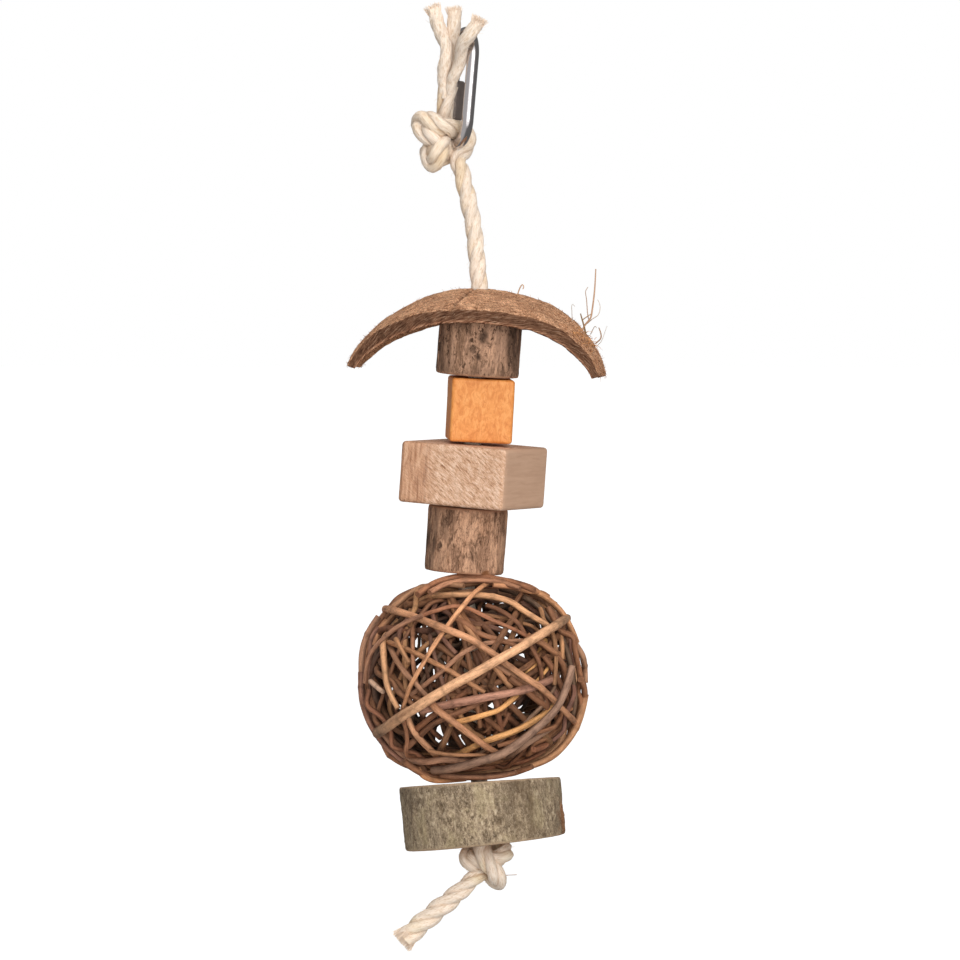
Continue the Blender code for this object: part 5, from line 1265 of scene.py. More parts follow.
# ---------------------------------------------------------------- willow ball: the same rods as the part
BALL_A, BALL_B, BALL_N = 38.7, 33.9, 2.35
ROD_GAP, STATION, SAMPLES, POLE_CLEAR, BACK_RODS = 0.45, 4.6, 5, 11.0, 15
BALL_M, BALL_O = basis(BALL_LEAN, LOW_PITCH), BALL_C
FRONT_RODS = [
    ("big_diagonal", 3.6, 0.1, 2, 2, [(377.5, 732.5), (400, 716.7), (423.3, 700.8), (450, 684.2), (470, 673.6),
                                        (491.7, 661.4), (516.7, 647.0), (541.7, 631.9), (568.3, 617.5)]),
    ("long_slant", 2.5, 0.8, 3, 0, [(386.7, 609.2), (408.3, 613.7), (425, 619.7), (450, 629.2), (473.3, 639.2),
                                     (493.3, 652.2), (508.3, 664.2), (526.7, 676.7), (543.3, 688.3), (558.3, 704), (578, 724.6)]),
    ("left_red", 1.8, 0.5, 3, 6, [(410, 619.7), (400, 625), (380, 640.8), (370, 655), (366.7, 668.3)]),
    ("red_thin", 1.6, 2.0, 4, 6, [(425, 613), (443.3, 607.5), (458.3, 604.4), (476.7, 610), (495, 617.5),
                                    (516.7, 625.8), (531.7, 632.5)]),
    ("top_sweep", 2.5, 1.2, 3, 5, [(391.7, 605.8), (416.7, 600), (436.7, 595.8), (466.7, 594.6), (491.7, 596.7),
                                     (510, 601.2), (526.7, 612.3), (545, 623.3)]),
    ("right_outline", 2.5, 0.7, 14, 2, [(552.5, 597), (567.8, 611), (573.0, 622), (575.5, 639), (582.5, 656),
                                        (586.3, 671), (587.6, 683)]),
    ("bottom_outline", 2.9, 0.9, 12, 16, [(466.7, 767.2), (500, 770.8), (522, 771.2), (536, 763.4), (558.3, 750.3),
                                          (574, 736.5), (581.2, 719), (584.6, 697)]),
    ("mauve_low", 3.0, 0.3, 6, 6, [(443.3, 768.3), (460, 765), (483.3, 758.3), (498.3, 753), (516.7, 741.7),
                                     (536.7, 725.8), (554, 709.3), (562.5, 694.3), (568.3, 678.3)]),
    ("mauve_level", 2.8, 1.9, 4, 1, [(433.3, 705.8), (466.7, 699.2), (500, 692.5), (530, 686.2), (546.7, 679.8),
                                      (566.7, 671.2), (580.2, 665.3)]),
    ("left_upright", 2.4, 1.0, 1, 2, [(389.2, 613.3), (384.2, 619.5), (383.3, 636.7), (385, 660), (388.6, 686.7),
                                       (398.3, 706.7)]),
    ("tan_slant", 1.7, 1.2, 0, 4, [(497.5, 577), (478.3, 588.3), (465, 601.7), (455, 614.2), (445, 627.7),
                                     (433.3, 645), (421.7, 664), (409, 686.7), (404.6, 700)]),
    ("grey_low", 2.3, 2.0, 8, 6, [(483, 763), (500, 757), (526.7, 741.9), (565, 718.3)]),
    ("golden_low", 2.6, 3.0, 6, 4, [(440, 754.2), (466.7, 746.6), (486.7, 739.3), (510, 731), (527, 723.2), (546.7, 710.8)]),
    ("golden_short", 2.2, 4.4, 6, 4, [(461.7, 719.2), (478.3, 714.9), (498.3, 708.1), (508.3, 700.5)]),
    ("top_left_outline", 2.4, 0.9, 12, 12, [(390.5, 606.5), (403.3, 601), (416.7, 589), (430, 580.6), (443.3, 576.8)]),
    ("left_outline", 2.6, 0.6, 22, 8, [(360.3, 686.7), (361.2, 706), (370.4, 726), (386.7, 747.6), (406.7, 762.3),
                                        (430, 765.6), (453.3, 769)]),
    ("lower_dip", 2.6, 1.8, 5, 4, [(436.7, 706.7), (456.7, 721.7), (480, 739.7), (496.7, 750.8)]),
    ("lower_left", 2.4, 1.6, 4, 5, [(403.3, 720), (410, 731.7), (425, 745.8), (445, 760.9), (458.3, 764)]),
    ("top_brown", 2.8, 1.3, 8, 4, [(452, 586.7), (478, 580.4), (500, 580), (527, 585), (545, 592.4)]),
    ("right_brown", 2.2, 1.2, 6, 4, [(538.3, 640), (555, 651.2), (571.7, 660.4), (580, 668)]),
    ("left_cross", 2.1, 4.2, 8, 6, [(390, 646.7), (400, 664.4), (411.7, 677.3), (423.3, 690), (433.3, 701.7)]),
    ("split_thin", 1.7, 4.8, 6, 6, [(553.3, 656.7), (548, 667.5), (538.8, 678)]),
    ("split_wide", 2.8, 5.2, 6, 8, [(543.3, 646.7), (535, 662.5), (525.5, 676)]),
    ("inner_rise", 1.7, 4.4, 6, 6, [(420, 686.7), (443.3, 668.3), (463.3, 651), (475, 644.2), (485, 640.8),
                                      (506.7, 638.3), (525, 636.7)]),
    ("inner_dip", 2.0, 4.6, 6, 10, [(501.7, 666.7), (525, 683.3), (541.7, 699), (553.3, 710)]),
    ("inner_left_b", 1.8, 4.8, 6, 8, [(412.5, 621.7), (412, 653.3), (413.3, 673.3)]),
    ("inner_left_a", 1.9, 5.4, 6, 8, [(407.4, 623.3), (405.2, 650), (405.8, 669)]),
]


def envelope(d):
    """Outer radius of the ball along unit directions."""
    s = np.hypot(d[:, 0], d[:, 1])
    return 1.0 / ((s / BALL_A) ** BALL_N + (np.abs(d[:, 2]) / BALL_B) ** BALL_N) ** (1.0 / BALL_N)


def front_directions(layout, depth):
    """Directions from the ball's centre to layout points lying depth under the envelope, on the front."""
    lo, hi = np.full(len(layout), -60.0), np.full(len(layout), BALL_O[1])

    def local(y):
        v = -(layout[:, 1] - ZERO[1]) / GRID
        z = (v - y * math.sin(VIEW_TILT)) / math.cos(VIEW_TILT)
        return (np.stack([(layout[:, 0] - ZERO[0]) / GRID, y, z], axis=1) - BALL_O) @ BALL_M

    for _ in range(40):
        mid = (lo + hi) / 2
        p = local(mid)
        n = np.linalg.norm(p, axis=1)
        out = n > envelope(p / n[:, None]) - depth
        lo, hi = np.where(out, mid, lo), np.where(out, hi, mid)
    p = local((lo + hi) / 2)
    return p / np.linalg.norm(p, axis=1)[:, None]


def keep_off_axis(d, reach, front):
    """Bend directions round the ball's axis, on one side of it, so that the rope's channel stays clear."""
    need = math.sin(math.radians(reach))
    x, y = d[:, 0], d[:, 1]
    bow = np.sqrt(np.maximum(need * need - x * x, 0.0))
    polar = np.abs(d[:, 2]) > math.cos(math.radians(2.6 * reach))
    y = np.where(polar & (np.abs(x) < need), np.minimum(y, -bow) if front else np.maximum(y, bow), y)
    out = np.stack([x, y, np.sign(d[:, 2]) * np.sqrt(np.maximum(1.0 - x * x - y * y, 0.0))], axis=1)
    out = np.where(polar[:, None], out, d)
    return out / np.linalg.norm(out, axis=1)[:, None]


def carry_on(d0, d1, length, step):
    """Great-circle tail that goes on past d1, coming from d0."""
    t = d1 - d0
    t = t - d1 * t.dot(d1)
    t = t / np.linalg.norm(t)
    n = int(round(length / step))
    if n == 0:
        return np.zeros((0, 3))
    ang = np.arange(1, n + 1) * step / 35.0
    return np.cos(ang)[:, None] * d1 + np.sin(ang)[:, None] * t


def eased(a, k):
    """Springy rod: values drawn towards the mean of their neighbours."""
    out = a.copy()
    out[1:-1] += k * (0.5 * (a[:-2] + a[2:]) - a[1:-1])
    out[0] += 0.5 * k * (a[1] - a[0])
    out[-1] += 0.5 * k * (a[-2] - a[-1])
    return out


def chord_samples(d, first):
    """Points along the straight runs between a rod's stations: directions, stations and their weights."""
    out_d, k0, k1, w0, w1 = [], [], [], [], []
    for k in range(len(d) - 1):
        for f in np.arange(SAMPLES + (k == len(d) - 2)) / SAMPLES:
            m = (1 - f) * d[k] + f * d[k + 1]
            m = m / np.linalg.norm(m)
            out_d.append(m)
            k0.append(first + k)
            k1.append(first + k + 1)
            w0.append((1 - f) * d[k].dot(m))
            w1.append(f * d[k + 1].dot(m))
    return np.array(out_d), np.array(k0), np.array(k1), np.array(w0), np.array(w1)


def weave(rods, held=0, steps=900):
    """Settle the rods' radii: each crossing keeps its rods apart, one over the other, and the rods stay springy."""
    start = np.concatenate([[0], np.cumsum([len(rod["d"]) for rod in rods])])
    env = np.concatenate([envelope(rod["d"]) for rod in rods])
    want = np.concatenate([np.full(len(rod["d"]), -rod["depth"] - rod["dia"] / 2) - rod.get("deep", 0.0) for rod in rods])
    play = np.concatenate([np.full(len(rod["d"]), rod.get("play", 40.0)) for rod in rods])
    cap = np.concatenate([np.full(len(rod["d"]), -rod["dia"] / 2) for rod in rods]) + env
    r = env + want
    for n in range(held):
        r[start[n]:start[n + 1]] = rods[n]["r"]
    still = r[:start[held]].copy()
    runs = [chord_samples(rod["d"], start[n]) for n, rod in enumerate(rods)]
    k0, k1, w0, w1 = (np.concatenate([run[c] for run in runs]) for c in (1, 2, 3, 4))
    owner = np.concatenate([np.full(len(run[0]), n) for n, run in enumerate(runs)])
    at0 = np.concatenate([[0], np.cumsum([len(run[0]) for run in runs])])
    share = 1.0 / (w0 * w0 + w1 * w1)

    # sample pairs of different rods that pass within touching reach, grouped into crossings
    i, j, need, group, n_group = [], [], [], [], 0
    for a in range(len(rods)):
        for b in range(max(a + 1, held), len(rods)):
            reach = (rods[a]["dia"] + rods[b]["dia"]) / 2 + ROD_GAP
            t2 = 2.0 * 33.0 ** 2 * (1.0 - np.clip(runs[a][0] @ runs[b][0].T, -1.0, 1.0))
            ia, jb = np.nonzero(t2 < reach * reach)
            if len(ia):
                order = np.argsort(ia, kind="stable")
                ia, jb = ia[order], jb[order]
                jump = np.concatenate([[0], np.cumsum(np.diff(ia) > 4)])
                i.append(ia + at0[a])
                j.append(jb + at0[b])
                need.append(np.sqrt(reach * reach - t2[ia, jb]))
                group.append(jump + n_group)
                n_group += int(jump[-1]) + 1
    i, j, need, group = (np.concatenate(c) for c in (i, j, need, group))
    rank = np.array([rod["depth"] for rod in rods])
    count = np.maximum(np.bincount(group, minlength=n_group), 1)
    lift = np.bincount(group, weights=rank[owner[j]] - rank[owner[i]], minlength=n_group) / count
    side = None
    for step in range(steps):
        rs = w0 * r[k0] + w1 * r[k1]
        if side is None or (step < 500 * steps / 900 and step % 20 == 0):
            diff = np.bincount(group, weights=rs[i] - rs[j], minlength=n_group) / count
            side = np.where(0.25 * diff + lift >= 0.0, 1.0, -1.0)
        sg = side[group]
        short = need - sg * (rs[i] - rs[j])
        hit = short > 0.0
        push = 0.5 * short[hit] * sg[hit]
        up, down = np.zeros(len(r)), np.zeros(len(r))
        for s, p in ((i[hit], push), (j[hit], -push)):
            for k, w in ((k0, w0), (k1, w1)):
                np.maximum.at(up, k[s], p * w[s] * share[s])
                np.minimum.at(down, k[s], p * w[s] * share[s])
        r = r + up + down
        f = 900.0 * step / steps
        if f < 700:
            spring = 0.30 if f < 450 else 0.30 * (700 - f) / 250
            h = r - env
            for a, b in zip(start, start[1:]):
                h[a:b] = eased(eased(h[a:b], spring), spring)
            r = env + h + 0.045 * spring * (want - h)
        r = np.minimum(np.clip(r, env + want - play, env + want + play), cap)
        r[:len(still)] = still
    return [r[a:b] for a, b in zip(start, start[1:])]


def back_rod(i):
    """Arc for the back and sides: a circle on the ball whose axis steps by the golden angle."""
    g = i * math.pi * (3.0 - math.sqrt(5.0))
    tip = -0.85 + 1.7 * (i + 0.5) / BACK_RODS
    axis = np.array([math.cos(g) * math.sqrt(1 - tip * tip), 0.55 * math.sin(g), tip])
    axis = axis / np.linalg.norm(axis)
    off = 0.42 * math.sin(2.3 * i + 0.7)
    mid = np.array([0.25 * math.sin(1.7 * i), 1.0, 0.3 * math.cos(2.9 * i)])
    mid = mid - axis * mid.dot(axis)
    mid = mid / np.linalg.norm(mid)
    side = np.cross(axis, mid)
    half = math.radians(72 + 22 * math.sin(1.3 * i + 0.4))
    a = np.linspace(-half, half, int(2 * half * 34 / STATION) + 1)
    d = off * axis + math.sqrt(1 - off * off) * (np.cos(a)[:, None] * mid + np.sin(a)[:, None] * side)
    return d, 2.1 + 0.6 * math.sin(2.1 * i), 1.2 + 4.4 * i / (BACK_RODS - 1)


def lay_ball():
    """Place every rod, then settle the weave; front rods stay on their layout as they sink or rise."""
    rods = []
    for name, dia, depth, lead, trail, layout in FRONT_RODS:
        line = smooth(layout, GRID * STATION)
        rods.append({"dia": dia, "depth": depth, "lead": lead, "trail": trail, "line": line, "sink": 2.5 if "outline" in name else 9.0,
                     "under": np.full(len(line), depth + dia / 2)})
    for i in range(BACK_RODS):
        d, dia, depth = back_rod(i)
        rods.append({"dia": dia, "depth": depth, "line": None, "d": keep_off_axis(d, POLE_CLEAR, False)})
    for _ in range(3):
        for rod in rods:
            if rod["line"] is not None:
                d = front_directions(rod["line"], np.minimum(rod["under"], rod["depth"] + rod["dia"] / 2 + rod["sink"]))
                head = carry_on(d[1], d[0], rod["lead"], STATION)[::-1]
                d = np.vstack([head, d, carry_on(d[-2], d[-1], rod["trail"], STATION)])
                rod["d"] = keep_off_axis(d, POLE_CLEAR, True)
                rod["head"] = len(head)
        for rod, r in zip(rods, weave(rods)):
            rod["r"] = r
            if rod["line"] is not None:
                rod["under"] = (envelope(rod["d"]) - r)[rod["head"]:rod["head"] + len(rod["line"])]
    return rods


TAN, GOLD, BROWN, MAUVE = (0.50, 0.270, 0.140), (0.57, 0.310, 0.125), (0.345, 0.172, 0.092), (0.320, 0.168, 0.118)
# DEEP is painted shade: the dark tone of rods lying inside the weave; in MIXED it is also one dark tone among the
# others
RED, DEEP, GREY, PALE = (0.335, 0.155, 0.086), (0.23, 0.110, 0.060), (0.275, 0.175, 0.120), (0.95, 0.66, 0.48)
KEYS = {"t": TAN, "g": GOLD, "b": BROWN, "m": MAUVE, "r": RED, "d": DEEP, "y": GREY, "p": PALE}
LIGHT, SHADE = (0.56, 0.315, 0.175), (0.375, 0.205, 0.125)
FRONT_TONES = [(0.62, 0.368, 0.212), (0.46, 0.250, 0.140), SHADE, RED, LIGHT, SHADE, LIGHT, GREY, MAUVE, LIGHT, TAN, GREY, GOLD, GOLD, TAN, SHADE, BROWN, LIGHT, SHADE,
               BROWN, SHADE, (0.66, 0.37, 0.15), (0.66, 0.36, 0.14), SHADE, SHADE, BROWN, TAN]
MIXED = [BROWN, TAN, MAUVE, BROWN, RED, BROWN, GREY, DEEP]


# Thin shoots and inner rods that the part leaves out: layout ones first, then arcs that fill the weave all round.
SHOOTS = [
    ("left_rim", 2.2, 0.8, 12, 10, "b", [(386, 607.5), (372.5, 625), (366, 641.7), (361.8, 658.3)]),
    ("left_rim_low", 2.4, 1.0, 8, 14, "m", [(363, 652), (359.8, 676.7), (362, 700)]),
    ("top_light", 2.0, 1.0, 8, 6, "t", [(412, 603), (416, 598), (428.3, 585), (441, 578.5)]),
    ("top_cross", 2.4, 2.5, 12, 14, "b", [(436, 592), (447, 584), (462, 588), (480, 589)]),
    ("top_front", 2.4, 0.8, 20, 22, "b", [(428, 584), (450, 579.5), (474, 578), (492, 579)]),
    ("flat_top", 2.0, 0.6, 6, 2, "t", [(506, 587), (518, 589.2), (538.3, 594.2), (552.5, 591.7)]),
    ("right_top_a", 2.0, 2.2, 10, 10, "t", [(543, 598), (553, 610), (562, 622), (566, 634)]),
    ("right_top_b", 1.9, 3.2, 8, 12, "t", [(536, 598), (546, 612), (556, 628), (560, 645)]),
    ("fall_a", 2.4, 4.6, 12, 12, "b", [(526, 594), (517, 611), (508, 624), (497, 642)]),
    ("fall_b", 2.2, 5.6, 10, 14, "b", [(533, 600), (522, 618), (513, 634), (506, 650)]),
    ("short_a", 2.2, 5.0, 10, 10, "b", [(470, 622), (482, 630), (498, 635)]),
    ("short_b", 2.4, 5.6, 12, 12, "b", [(461, 610), (470, 622), (477, 634)]),
    ("rise_a", 2.3, 6.6, 8, 12, "t", [(466, 645), (457, 660), (450, 677)]),
    ("slip_a", 2.2, 7.2, 10, 14, "b", [(436, 642), (456, 655), (468, 664), (480, 674)]),
    ("slip_b", 1.6, 6.2, 8, 10, "m", [(432, 652), (437, 668), (442, 684)]),
    ("dip_a", 2.2, 7.0, 10, 8, "r", [(488, 668), (493, 679), (497, 690)]),
    ("dip_b", 2.2, 7.4, 10, 8, "b", [(481, 676), (486, 684), (491, 692)]),
    ("lift_a", 2.4, 6.8, 12, 12, "b", [(464, 693), (473, 684), (483, 674)]),
    ("post_a", 2.2, 7.0, 8, 12, "r", [(497, 704), (500, 717), (502.5, 732)]),
    ("slip_c", 2.2, 6.4, 10, 12, "b", [(472, 704), (484, 715), (498, 728)]),
    ("slip_d", 2.2, 5.8, 10, 10, "b", [(508, 700), (517, 709), (526, 719)]),
    ("slip_e", 2.3, 4.4, 8, 12, "b", [(530, 690), (543, 701), (556, 713)]),
    ("right_a", 2.0, 4.6, 12, 12, "b", [(564, 680), (569, 696), (572, 712)]),
    ("right_b", 2.2, 3.6, 10, 12, "b", [(573, 706), (569, 720), (563, 736)]),
    ("low_right_a", 2.4, 3.4, 10, 14, "b", [(558, 733), (540, 746), (520, 760)]),
    ("low_right_b", 2.3, 4.6, 10, 12, "m", [(566, 722), (548, 738), (528, 752), (508, 764)]),
    ("low_right_c", 2.6, 2.4, 10, 16, "b", [(500, 766), (520, 764), (545, 752), (562, 738)]),
    ("low_left_a", 2.2, 4.6, 12, 12, "b", [(420, 735), (436, 722), (450, 716)]),
    ("low_left_b", 2.2, 5.2, 10, 12, "r", [(412, 731), (426, 720), (438, 711)]),
    ("low_post_a", 2.4, 5.8, 8, 12, "b", [(441, 748), (446, 737), (451, 724)]),
    ("low_post_b", 2.2, 6.6, 8, 12, "d", [(449, 728), (454, 737), (460, 748)]),
    ("shoot_down", 1.6, 1.6, 6, 4, "b", [(400.5, 722), (404, 738), (408.5, 750), (412.5, 760)]),
    ("pale_low", 1.4, 1.4, 6, 4, "t", [(441, 754.6), (456, 756.3), (470, 757), (484, 757.4)]),
    ("mid_left_a", 2.4, 5.4, 12, 12, "b", [(388, 676), (404, 692), (422, 702)]),
    ("mid_left_b", 2.2, 3.6, 10, 12, "b", [(371, 666), (384, 675), (396, 690)]),
    ("dark_left_a", 2.4, 5.0, 10, 12, "d", [(374, 694), (380, 708), (390, 722)]),
    ("dark_left_b", 2.2, 6.5, 10, 12, "d", [(384, 690), (388, 706), (396, 722)]),
    ("stub_left", 1.9, 3.2, 0, 4, "t", [(396.5, 638), (400, 645), (403.5, 652)]),
    ("cut_left", 2.0, 2.2, 0, 1, "p", [(370.5, 681), (375, 685.5), (383, 690.5)]),
    ("low_rim_a", 2.4, 0.8, 40, 18, "b", [(414, 767), (424, 774), (440, 777.5), (462, 777)]),
    ("low_rim_b", 2.4, 1.6, 16, 16, "r", [(436, 773.5), (460, 776), (490, 775.5), (512, 773.5)]),
    ("low_rim_c", 2.2, 2.6, 16, 16, "b", [(400, 758), (420, 768), (448, 773), (476, 772.5)]),
    ("right_c", 2.2, 1.2, 8, 14, "b", [(566, 628), (574, 648), (579, 668), (581, 690)]),
    ("right_d", 2.0, 2.2, 8, 12, "m", [(572, 640), (577, 660), (578, 682), (574, 704)]),
    ("right_e", 2.2, 0.9, 4, 12, "b", [(581, 686), (582.5, 706), (577, 726)]),
    ("left_e", 2.2, 1.4, 10, 10, "b", [(366, 700), (374, 722), (388, 742), (404, 756)]),
    ("left_f", 2.0, 2.0, 8, 10, "r", [(378, 716), (388, 734), (402, 750), (420, 762)]),
    ("inner_a", 2.2, 9.5, 14, 18, "b", [(430, 640), (455, 668), (476, 694), (492, 722)]),
    ("inner_b", 2.0, 10.5, 18, 14, "m", [(448, 612), (478, 628), (512, 650), (548, 668)]),
    ("inner_c", 2.3, 9.0, 16, 16, "b", [(392, 672), (424, 690), (452, 718), (470, 748)]),
    ("inner_d", 1.9, 10.5, 16, 12, "d", [(560, 636), (542, 668), (520, 704), (500, 738)]),
    ("inner_e", 2.1, 7.5, 12, 16, "b", [(404, 612), (440, 606), (478, 620), (520, 612)]),
    ("inner_f", 1.8, 10.0, 14, 14, "d", [(372, 700), (410, 704), (446, 690), (486, 664)]),
    ("inner_g", 2.0, 7.0, 14, 18, "b", [(555, 640), (562, 672), (556, 704), (540, 734)]),
    ("inner_h", 1.7, 8.5, 14, 10, "d", [(424, 600), (420, 640), (428, 684), (446, 720)]),
]
FILL_RODS, LAST_RODS = 56, 34
WINDOWS = [(421.5, 647), (496.7, 626), (514, 632.5), (525, 656.5), (524, 705), (438.5, 736), (460, 738.6), (425, 715.5)]


def fill_rod(i, turn):
    """Arc of a circle on the ball for the filling, all round."""
    g = i * math.pi * (3.0 - math.sqrt(5.0)) + 1.1
    tip = -0.92 + 1.84 * (i + 0.5) / FILL_RODS
    axis = np.array([math.cos(g) * math.sqrt(1 - tip * tip), math.sin(g) * math.sqrt(1 - tip * tip), tip])
    off = 0.55 * math.sin(2.7 * i + 1.3 + 0.6 * turn)
    mid = np.array([math.sin(1.9 * i + turn), math.cos(1.9 * i + turn), 0.5 * math.sin(3.1 * i)])
    mid = mid - axis * mid.dot(axis)
    mid = mid / np.linalg.norm(mid)
    side = np.cross(axis, mid)
    half = math.radians(64 + 34 * math.sin(1.7 * i + 0.9))
    a = np.linspace(-half, half, int(2 * half * 32 / STATION) + 1)
    d = off * axis + math.sqrt(1 - off * off) * (np.cos(a)[:, None] * mid + np.sin(a)[:, None] * side)
    return keep_off_axis(d, POLE_CLEAR, mid[1] < 0), 1.75 + 0.55 * math.sin(2.3 * i + 0.5), 2.2 + 6.0 * ((i * 0.618) % 1.0)


def blocks_window(d, depth, dia):
    p = BALL_O + (d * (envelope(d) - depth)[:, None]) @ BALL_M.T
    p = evenly(p, 0.8)
    u, w = p[:, 0] * GRID + ZERO[0], ZERO[1] - (p[:, 2] + p[:, 1] * math.sin(VIEW_TILT)) * GRID
    gap = [np.min(np.hypot(u - a, w - b)) / GRID - dia / 2 for a, b in WINDOWS]
    return sum(g < 1.1 for g in gap)


def on_view(d, under):
    """Front-view places of a run of directions lying under the envelope by under."""
    p = BALL_O + evenly(d * (envelope(d) - under)[:, None], 0.4) @ BALL_M.T
    return np.stack([p[:, 0] * GRID + ZERO[0], ZERO[1] - (p[:, 2] + p[:, 1] * math.sin(VIEW_TILT)) * GRID], axis=1)


CELL, CORNER, CELLS = 1.5, np.array([350.0, 566.0]), (165, 150)


def shadow(spots, dia):
    """Cells of the front view that a rod hides."""
    r = dia * GRID / 2
    k = np.arange(-math.ceil(r / CELL), math.ceil(r / CELL) + 1)
    disc = np.stack(np.meshgrid(k, k), axis=-1).reshape(-1, 2)
    disc = disc[np.hypot(disc[:, 0], disc[:, 1]) * CELL <= r]
    c = (np.round((spots - CORNER) / CELL).astype(int)[:, None, :] + disc[None]).reshape(-1, 2)
    c = c[(c >= 0).all(axis=1) & (c < np.array(CELLS)).all(axis=1)]
    out = np.zeros(CELLS, bool)
    out[c[:, 0], c[:, 1]] = True
    return out


def sunk(d):
    """Filling lies deeper on the front, under the laid-out rods."""
    return 6.0 * np.clip((-d[:, 1] - 0.05) / 0.5, 0, 1) ** 1.5


def lay_filling(rods):
    more = []
    for name, dia, depth, lead, trail, tone, layout in SHOOTS:
        line = smooth(layout, GRID * STATION * 0.8)
        d = front_directions(line, np.full(len(line), depth + dia / 2))
        head = carry_on(d[1], d[0], lead, STATION)[::-1]
        d = np.vstack([head, d, carry_on(d[-2], d[-1], trail, STATION)])
        more.append({"dia": dia, "depth": depth, "tone": KEYS[tone], "play": 2.0, "d": keep_off_axis(d, POLE_CLEAR - 1.5, True)})
    for i in range(FILL_RODS):
        tries = [fill_rod(i, 0.7 * k) for k in range(10)]
        d, dia, depth = min(tries, key=lambda t: blocks_window(t[0], t[2], t[1]))
        more.append({"dia": dia, "depth": depth, "play": 2.0, "d": d, "deep": sunk(d)})
    for rod, r in zip(rods + more, weave(rods + more, len(rods), 300)):
        rod["r"] = r
    # last rods go where the view still passes through the ball, but leave its windows open
    g = np.stack(np.meshgrid(*[np.arange(n) for n in CELLS], indexing="ij"), axis=-1) * CELL + CORNER
    x, z = (g[..., 0] - 472.7) / GRID, (678.1 - g[..., 1]) / GRID
    lean = math.radians(BALL_LEAN)
    x, z = x * math.cos(lean) - z * math.sin(lean), x * math.sin(lean) + z * math.cos(lean)
    open_cells = (np.abs(x) / (BALL_A - 0.8)) ** BALL_N + (np.abs(z) / (BALL_B - 0.8)) ** BALL_N < 1.0
    window = np.zeros(CELLS, bool)
    for k, (u, w) in enumerate(WINDOWS):
        window |= np.hypot(g[..., 0] - u, g[..., 1] - w) < (7.5 if k in (0, 4) else 5.0)
    for rod in rods + more:
        open_cells &= ~shadow(on_view(rod["d"], envelope(rod["d"]) - rod["r"]), rod["dia"])
    open_cells &= ~window
    for i in range(LAST_RODS):
        best = None
        for k in range(24):
            d, dia, depth = fill_rod((7 * i + 11 * k) % FILL_RODS, 0.37 * k + 0.9 * i)
            dia, depth = dia + 0.35, 1.0 + 0.8 * depth
            under = depth + dia / 2 + sunk(d)
            hide = shadow(on_view(d, under), dia)
            gain = int((hide & open_cells).sum()) - 3 * int((hide & window).sum())
            if best is None or gain > best[0]:
                best = (gain, d, dia, depth, under, hide)
        gain, d, dia, depth, under, hide = best
        open_cells &= ~hide
        # painted shade: these rods fill gaps inside the ball and take a tone darkened to 0.66
        more.append({"dia": dia, "depth": depth, "tone": np.array(MIXED[(3 * i) % len(MIXED)]) * 0.66, "d": d, "r": envelope(d) - under})
    return more


# rods that run close by the rope at the two ends, as (view place, depth) points
END_RODS = [(2.3, BROWN, [(418, 594, -17), (434, 583, -11.5), (452, 577.6, -8), (472, 576.6, -7.2), (494, 578.0, -8.4), (516, 583, -12), (534, 590, -16)]),
            (2.1, SHADE, [(430, 592, -17), (446, 583.5, -12), (462, 580.2, -9.8), (480, 579.6, -9.4), (500, 582, -11), (520, 588, -15)]),
            (2.4, BROWN, [(404, 760, -15), (418, 770, -12), (432, 776.0, -9), (450, 777.0, -8), (470, 776.4, -7.6), (490, 774.8, -8), (512, 772.5, -11), (532, 765, -15)]),
            (2.2, TAN, [(418, 768, -12), (424, 775, -10.5), (432, 779.0, -9.4), (446, 779.8, -8.6), (466, 777.6, -9.6)]),
            (2.2, SHADE, [(440, 773.5, -12.5), (458, 776.4, -11), (478, 776.6, -10.6), (498, 775.2, -11), (516, 771, -13.5)]),
            (3.2, DEEP, [(408, 602, 13), (424, 594.5, 14.5), (445, 587, 15), (470, 584, 15), (496, 585.6, 15), (516, 590.5, 14.5), (536, 598.5, 13.5), (553, 608, 10)]),
            (3.0, DEEP, [(500, 767, 14), (525, 760, 15), (548, 747.5, 14), (566, 728, 10)]),
            (2.6, DEEP, [(370, 712, 10), (382, 734, 13), (398, 750, 14), (424, 764, 14)]),
            (2.3, MAUVE, [(361.6, 672, -1.5), (361.6, 692, -2.2), (365.4, 712, -2.6), (373.6, 730, -2.8), (386.6, 747, -3.4), (404, 761, -5)]),
            (2.3, SHADE, [(388, 612, -6), (402, 599, -6.5), (418, 588.5, -7.2), (432, 584.8, -8.4), (448, 583.8, -10.5), (464, 585.6, -13)]),
            (2.4, TAN, [(490, 580.4, -9.5), (508, 582.6, -7.5), (526, 588, -5.5), (543, 595.4, -4), (558, 608, -2.6), (569, 624, -1.6), (577, 643, -1)]),
            (2.6, TAN, [(585, 694, -1), (580, 716, -2), (571.0, 735.6, -3.4), (556.6, 752.2, -5), (541, 761.6, -7.4), (522, 767.4, -10.4)]),
            (2.8, DEEP, [(440, 597, 9), (465, 591.5, 10), (489, 590.2, 10), (512, 594, 9), (532, 601, 8)])]


def clear_of_rope(line, dia):
    """Bend a rod aside where it would meet the rope that the ball turns round."""
    need = ROPE_R + 0.35 + 0.62 * dia
    s = arc_length(line)
    for _ in range(6):
        p = (line - BALL_O) @ BALL_M
        r = np.hypot(p[:, 0], p[:, 1])
        i = int(np.argmin(r))
        if r[i] >= need:
            break
        p[:, :2] += ((need + 0.05 - r[i]) * np.exp(-((s - s[i]) / 8.0) ** 2))[:, None] * (p[i, :2] / max(r[i], 1e-6))
        line = BALL_O + p @ BALL_M.T
    return line


